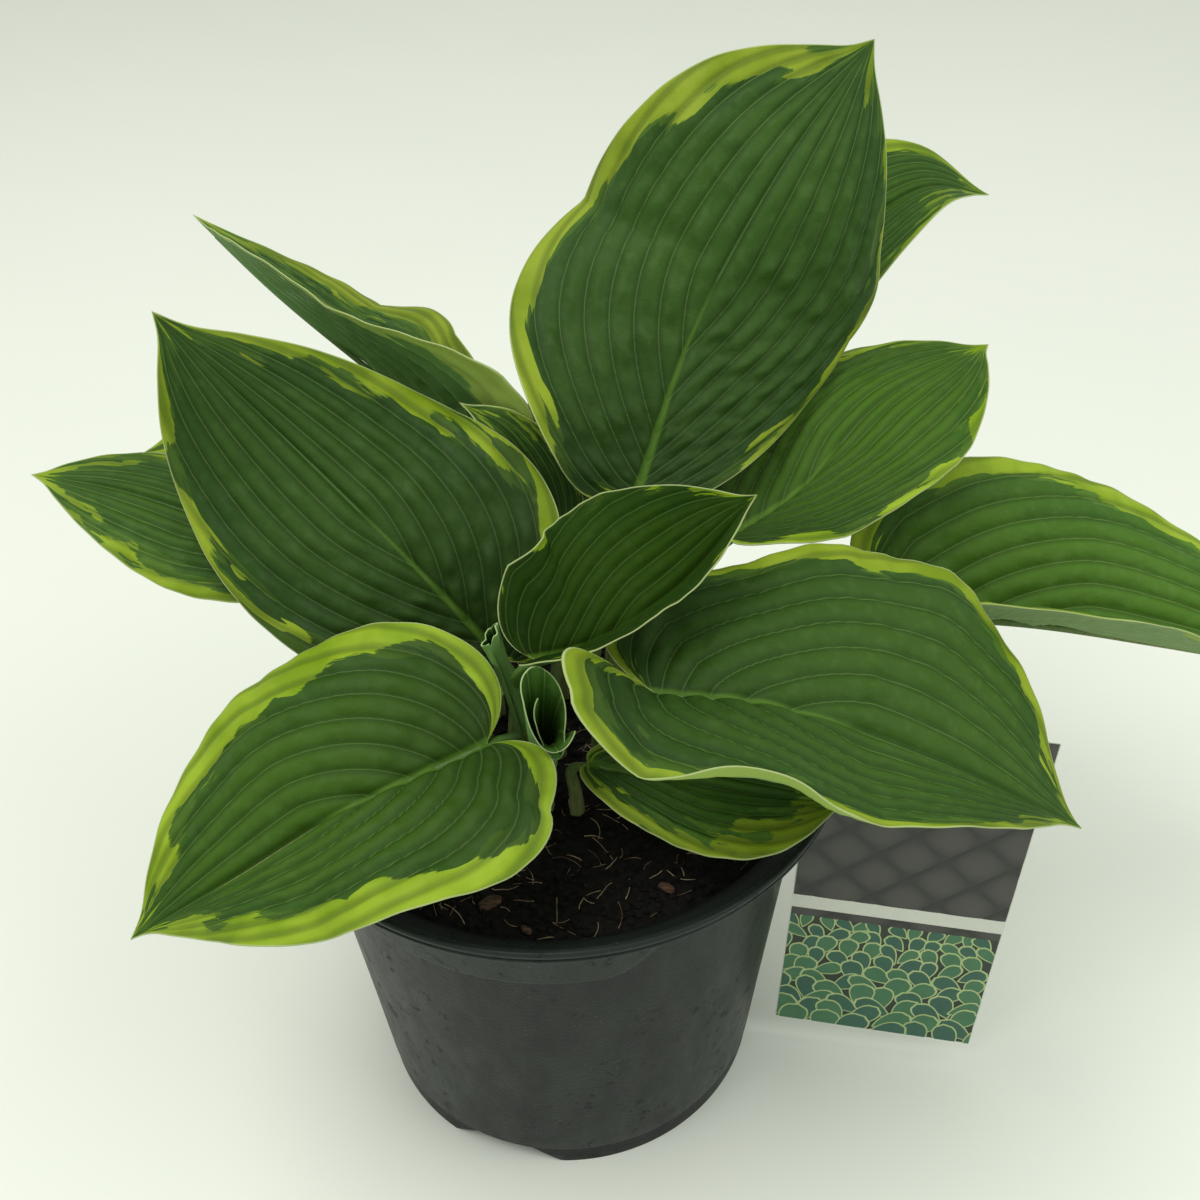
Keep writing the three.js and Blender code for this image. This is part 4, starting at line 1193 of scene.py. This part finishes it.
def leafy_rows(front):
    """A generic pattern: rows of pale-edged leaves that lap like scales."""
    rng = np.random.default_rng(5)
    parts = []
    rows, row_rise = 10, 6.6
    for row in range(rows):
        z = PRINT_GREEN_TOP - 2.5 - row * row_rise
        size = 0.75 + 0.07 * row
        step = 8.4 * size
        count = int((LABEL_RIGHT - LABEL_LEFT) / step) + 1
        for k in range(count):
            x = LABEL_LEFT + step * (k + 0.5 * (row % 2)) + rng.uniform(-1.5, 1.5)
            turn = -np.pi / 2 + rng.uniform(-1.1, 1.1)
            long, wide = rng.uniform(12, 15) * size, rng.uniform(6.5, 8.5) * size
            face = front - 0.02 - 0.03 * row - 0.007 * (k % 4)
            inner_slot = int(rng.integers(3, 5))
            for trim, lift, slot in ((0, 0, 5), (1.1, 0.004, inner_slot)):
                outline = within(leaf_motif(x, z, long - 1.6 * trim, wide - trim, turn),
                                 LABEL_LEFT + 0.4, LABEL_RIGHT - 0.4,
                                 LABEL_LOW + 0.4, PRINT_GREEN_TOP)
                if min(np.ptp(np.array(outline), axis=0)) > 1:
                    parts.append(flat_shape(outline, face - lift, front + 0.02, slot))
    return parts


def make_label():
    gap = RIM_GAP
    outline = [
        (LABEL_LEFT, LABEL_LOW), (LABEL_RIGHT, LABEL_LOW), (LABEL_RIGHT, LABEL_HIGH),
        (LABEL_TOOTH, LABEL_HIGH), (LABEL_TOOTH, LABEL_TOOTH_LOW),
        (LABEL_TOOTH + 5, LABEL_TOOTH_LOW), (LABEL_TOOTH + 5, POT_HEIGHT + gap),
        (RIM_RADIUS + gap, POT_HEIGHT + gap), (RIM_RADIUS + gap, RIM_LOW - gap),
        (COLLAR_TOP_RADIUS + 1.2, COLLAR_TOP - 1.4), (COLLAR_TOP_RADIUS + 0.6, COLLAR_LOW - 1),
        (LABEL_LEFT, COLLAR_LOW - 3),
    ]
    face = -LABEL_THICK / 2 + 0.35
    front = face - 0.02
    edge, clear = 0.4, 0.7
    left, right = LABEL_LEFT + edge, LABEL_RIGHT - edge
    by_collar, by_rim = COLLAR_TOP_RADIUS + 1.2 + clear, RIM_RADIUS + gap + clear
    parts = [flat_shape(outline, face, LABEL_THICK / 2, 0)]
    for block_left, low, high in ((left, PRINT_STRIPE_TOP, COLLAR_LOW - 3),
                                  (by_collar, COLLAR_LOW - 3, COLLAR_TOP - 2),
                                  (by_rim, COLLAR_TOP - 2, LABEL_HIGH - edge)):
        parts.append(relief_block(block_left, right, low, high, front, 1, quilt))
    parts.append(relief_block(left, right, PRINT_GREEN_TOP, PRINT_BAND_TOP, front, 1,
                              lambda along, z: 0.02))
    parts.append(relief_block(left, right, LABEL_LOW + edge, PRINT_GREEN_TOP, front, 2,
                              lambda along, z: 0.01))
    parts += leafy_rows(front)
    points, faces, slots, _ = join_parts(parts)
    piece = mesh_object("label_look", points, faces, slots, smooth=False)
    materials = [
        card_board(), quilted_ink(),
        print_ink("print_shade", srgb(18, 34, 26), srgb(34, 54, 38), 30),
        print_ink("print_leaf", srgb(34, 92, 62), srgb(78, 132, 88), 60),
        print_ink("print_leaf_deep", srgb(24, 72, 60), srgb(52, 108, 84), 60),
        print_ink("print_leaf_edge", srgb(150, 176, 112), srgb(196, 208, 150), 80),
    ]
    return dress(piece, materials, "label_card", "label")


# Stage

def make_floor():
    """A plain pale table top, far wider than the plant."""
    p = Paint("stage_floor", 0.6, Specular_IOR_Level=0.2)
    cloud = p.noise(p.place(), 3, 3)
    tone = p.mix(cloud, srgb(235, 239, 228), srgb(240, 243, 234))
    p.finish(tone, p.add(0.6, p.times(cloud, 0.1)))
    corners = ((-1, -1), (1, -1), (1, 1), (-1, 1))
    points = [(FLOOR_REACH * x, FLOOR_REACH * y, 0) for x, y in corners]
    floor = mesh_object("floor", points, [(0, 1, 2, 3)])
    floor.data.materials.append(p.material)


def aim(made, place, target):
    """Puts a light at a place, in metres, facing the target."""
    away = np.array(place, float) - np.array(target, float)
    back = unit(away)
    right = unit(np.cross([0, 0, 1], back))
    turn = np.stack([right, np.cross(back, right), back], 1)
    made.matrix_world = Matrix.Translation(place) @ Matrix(turn.tolist()).to_4x4()


def soft_light(name, place, target, width, power, colour):
    data = bpy.data.lights.new(name, "AREA")
    data.size = width
    data.energy = power
    data.color = colour
    made = bpy.data.objects.new(name, data)
    bpy.context.scene.collection.objects.link(made)
    aim(made, place, target)


def make_camera():
    """The photograph's view, from in front and above, with the camera rolled a little."""
    pitch, roll = np.radians([CAMERA_PITCH, CAMERA_ROLL])
    forward = np.array([0, np.cos(pitch), -np.sin(pitch)])
    level = np.array([1.0, 0, 0])
    down = np.cross(forward, level)
    right = np.cos(roll) * level + np.sin(roll) * down
    up = -(-np.sin(roll) * level + np.cos(roll) * down)
    data = bpy.data.cameras.new("camera")
    data.sensor_width = CAMERA_SENSOR
    data.lens = CAMERA_LENS
    camera = bpy.data.objects.new("camera", data)
    turn = Matrix(np.stack([right, up, -forward], 1).tolist()).to_4x4()
    camera.matrix_world = Matrix.Translation(CAMERA_PLACE) @ turn
    bpy.context.scene.collection.objects.link(camera)
    bpy.context.scene.camera = camera


def make_light():
    """An even pale sky and two soft lights, their places in metres."""
    world = bpy.data.worlds.new("studio")
    bpy.context.scene.world = world
    world.use_nodes = True
    background = world.node_tree.nodes["Background"]
    background.inputs["Color"].default_value = (0.97, 1, 0.95, 1)
    background.inputs["Strength"].default_value = 0.66
    middle = (0, 0, 0.15)
    soft_light("key", (-0.55, -0.2, 1.7), middle, 1.0, 14, (1, 0.99, 0.95))
    soft_light("fill", (1.3, -0.5, 1.5), middle, 1.2, 9, (0.98, 1, 0.97))
    bpy.context.scene.view_settings.view_transform = "Standard"


make_pot()
make_soil()
make_label()
for number, (leaf_name, leaf_values) in enumerate(LEAVES.items(), start=1):
    make_leaf(leaf_name, leaf_values, number)
for number, (roll_name, roll_values) in enumerate(ROLLS.items(), start=31):
    make_roll(roll_name, roll_values, number)
make_floor()
make_camera()
make_light()
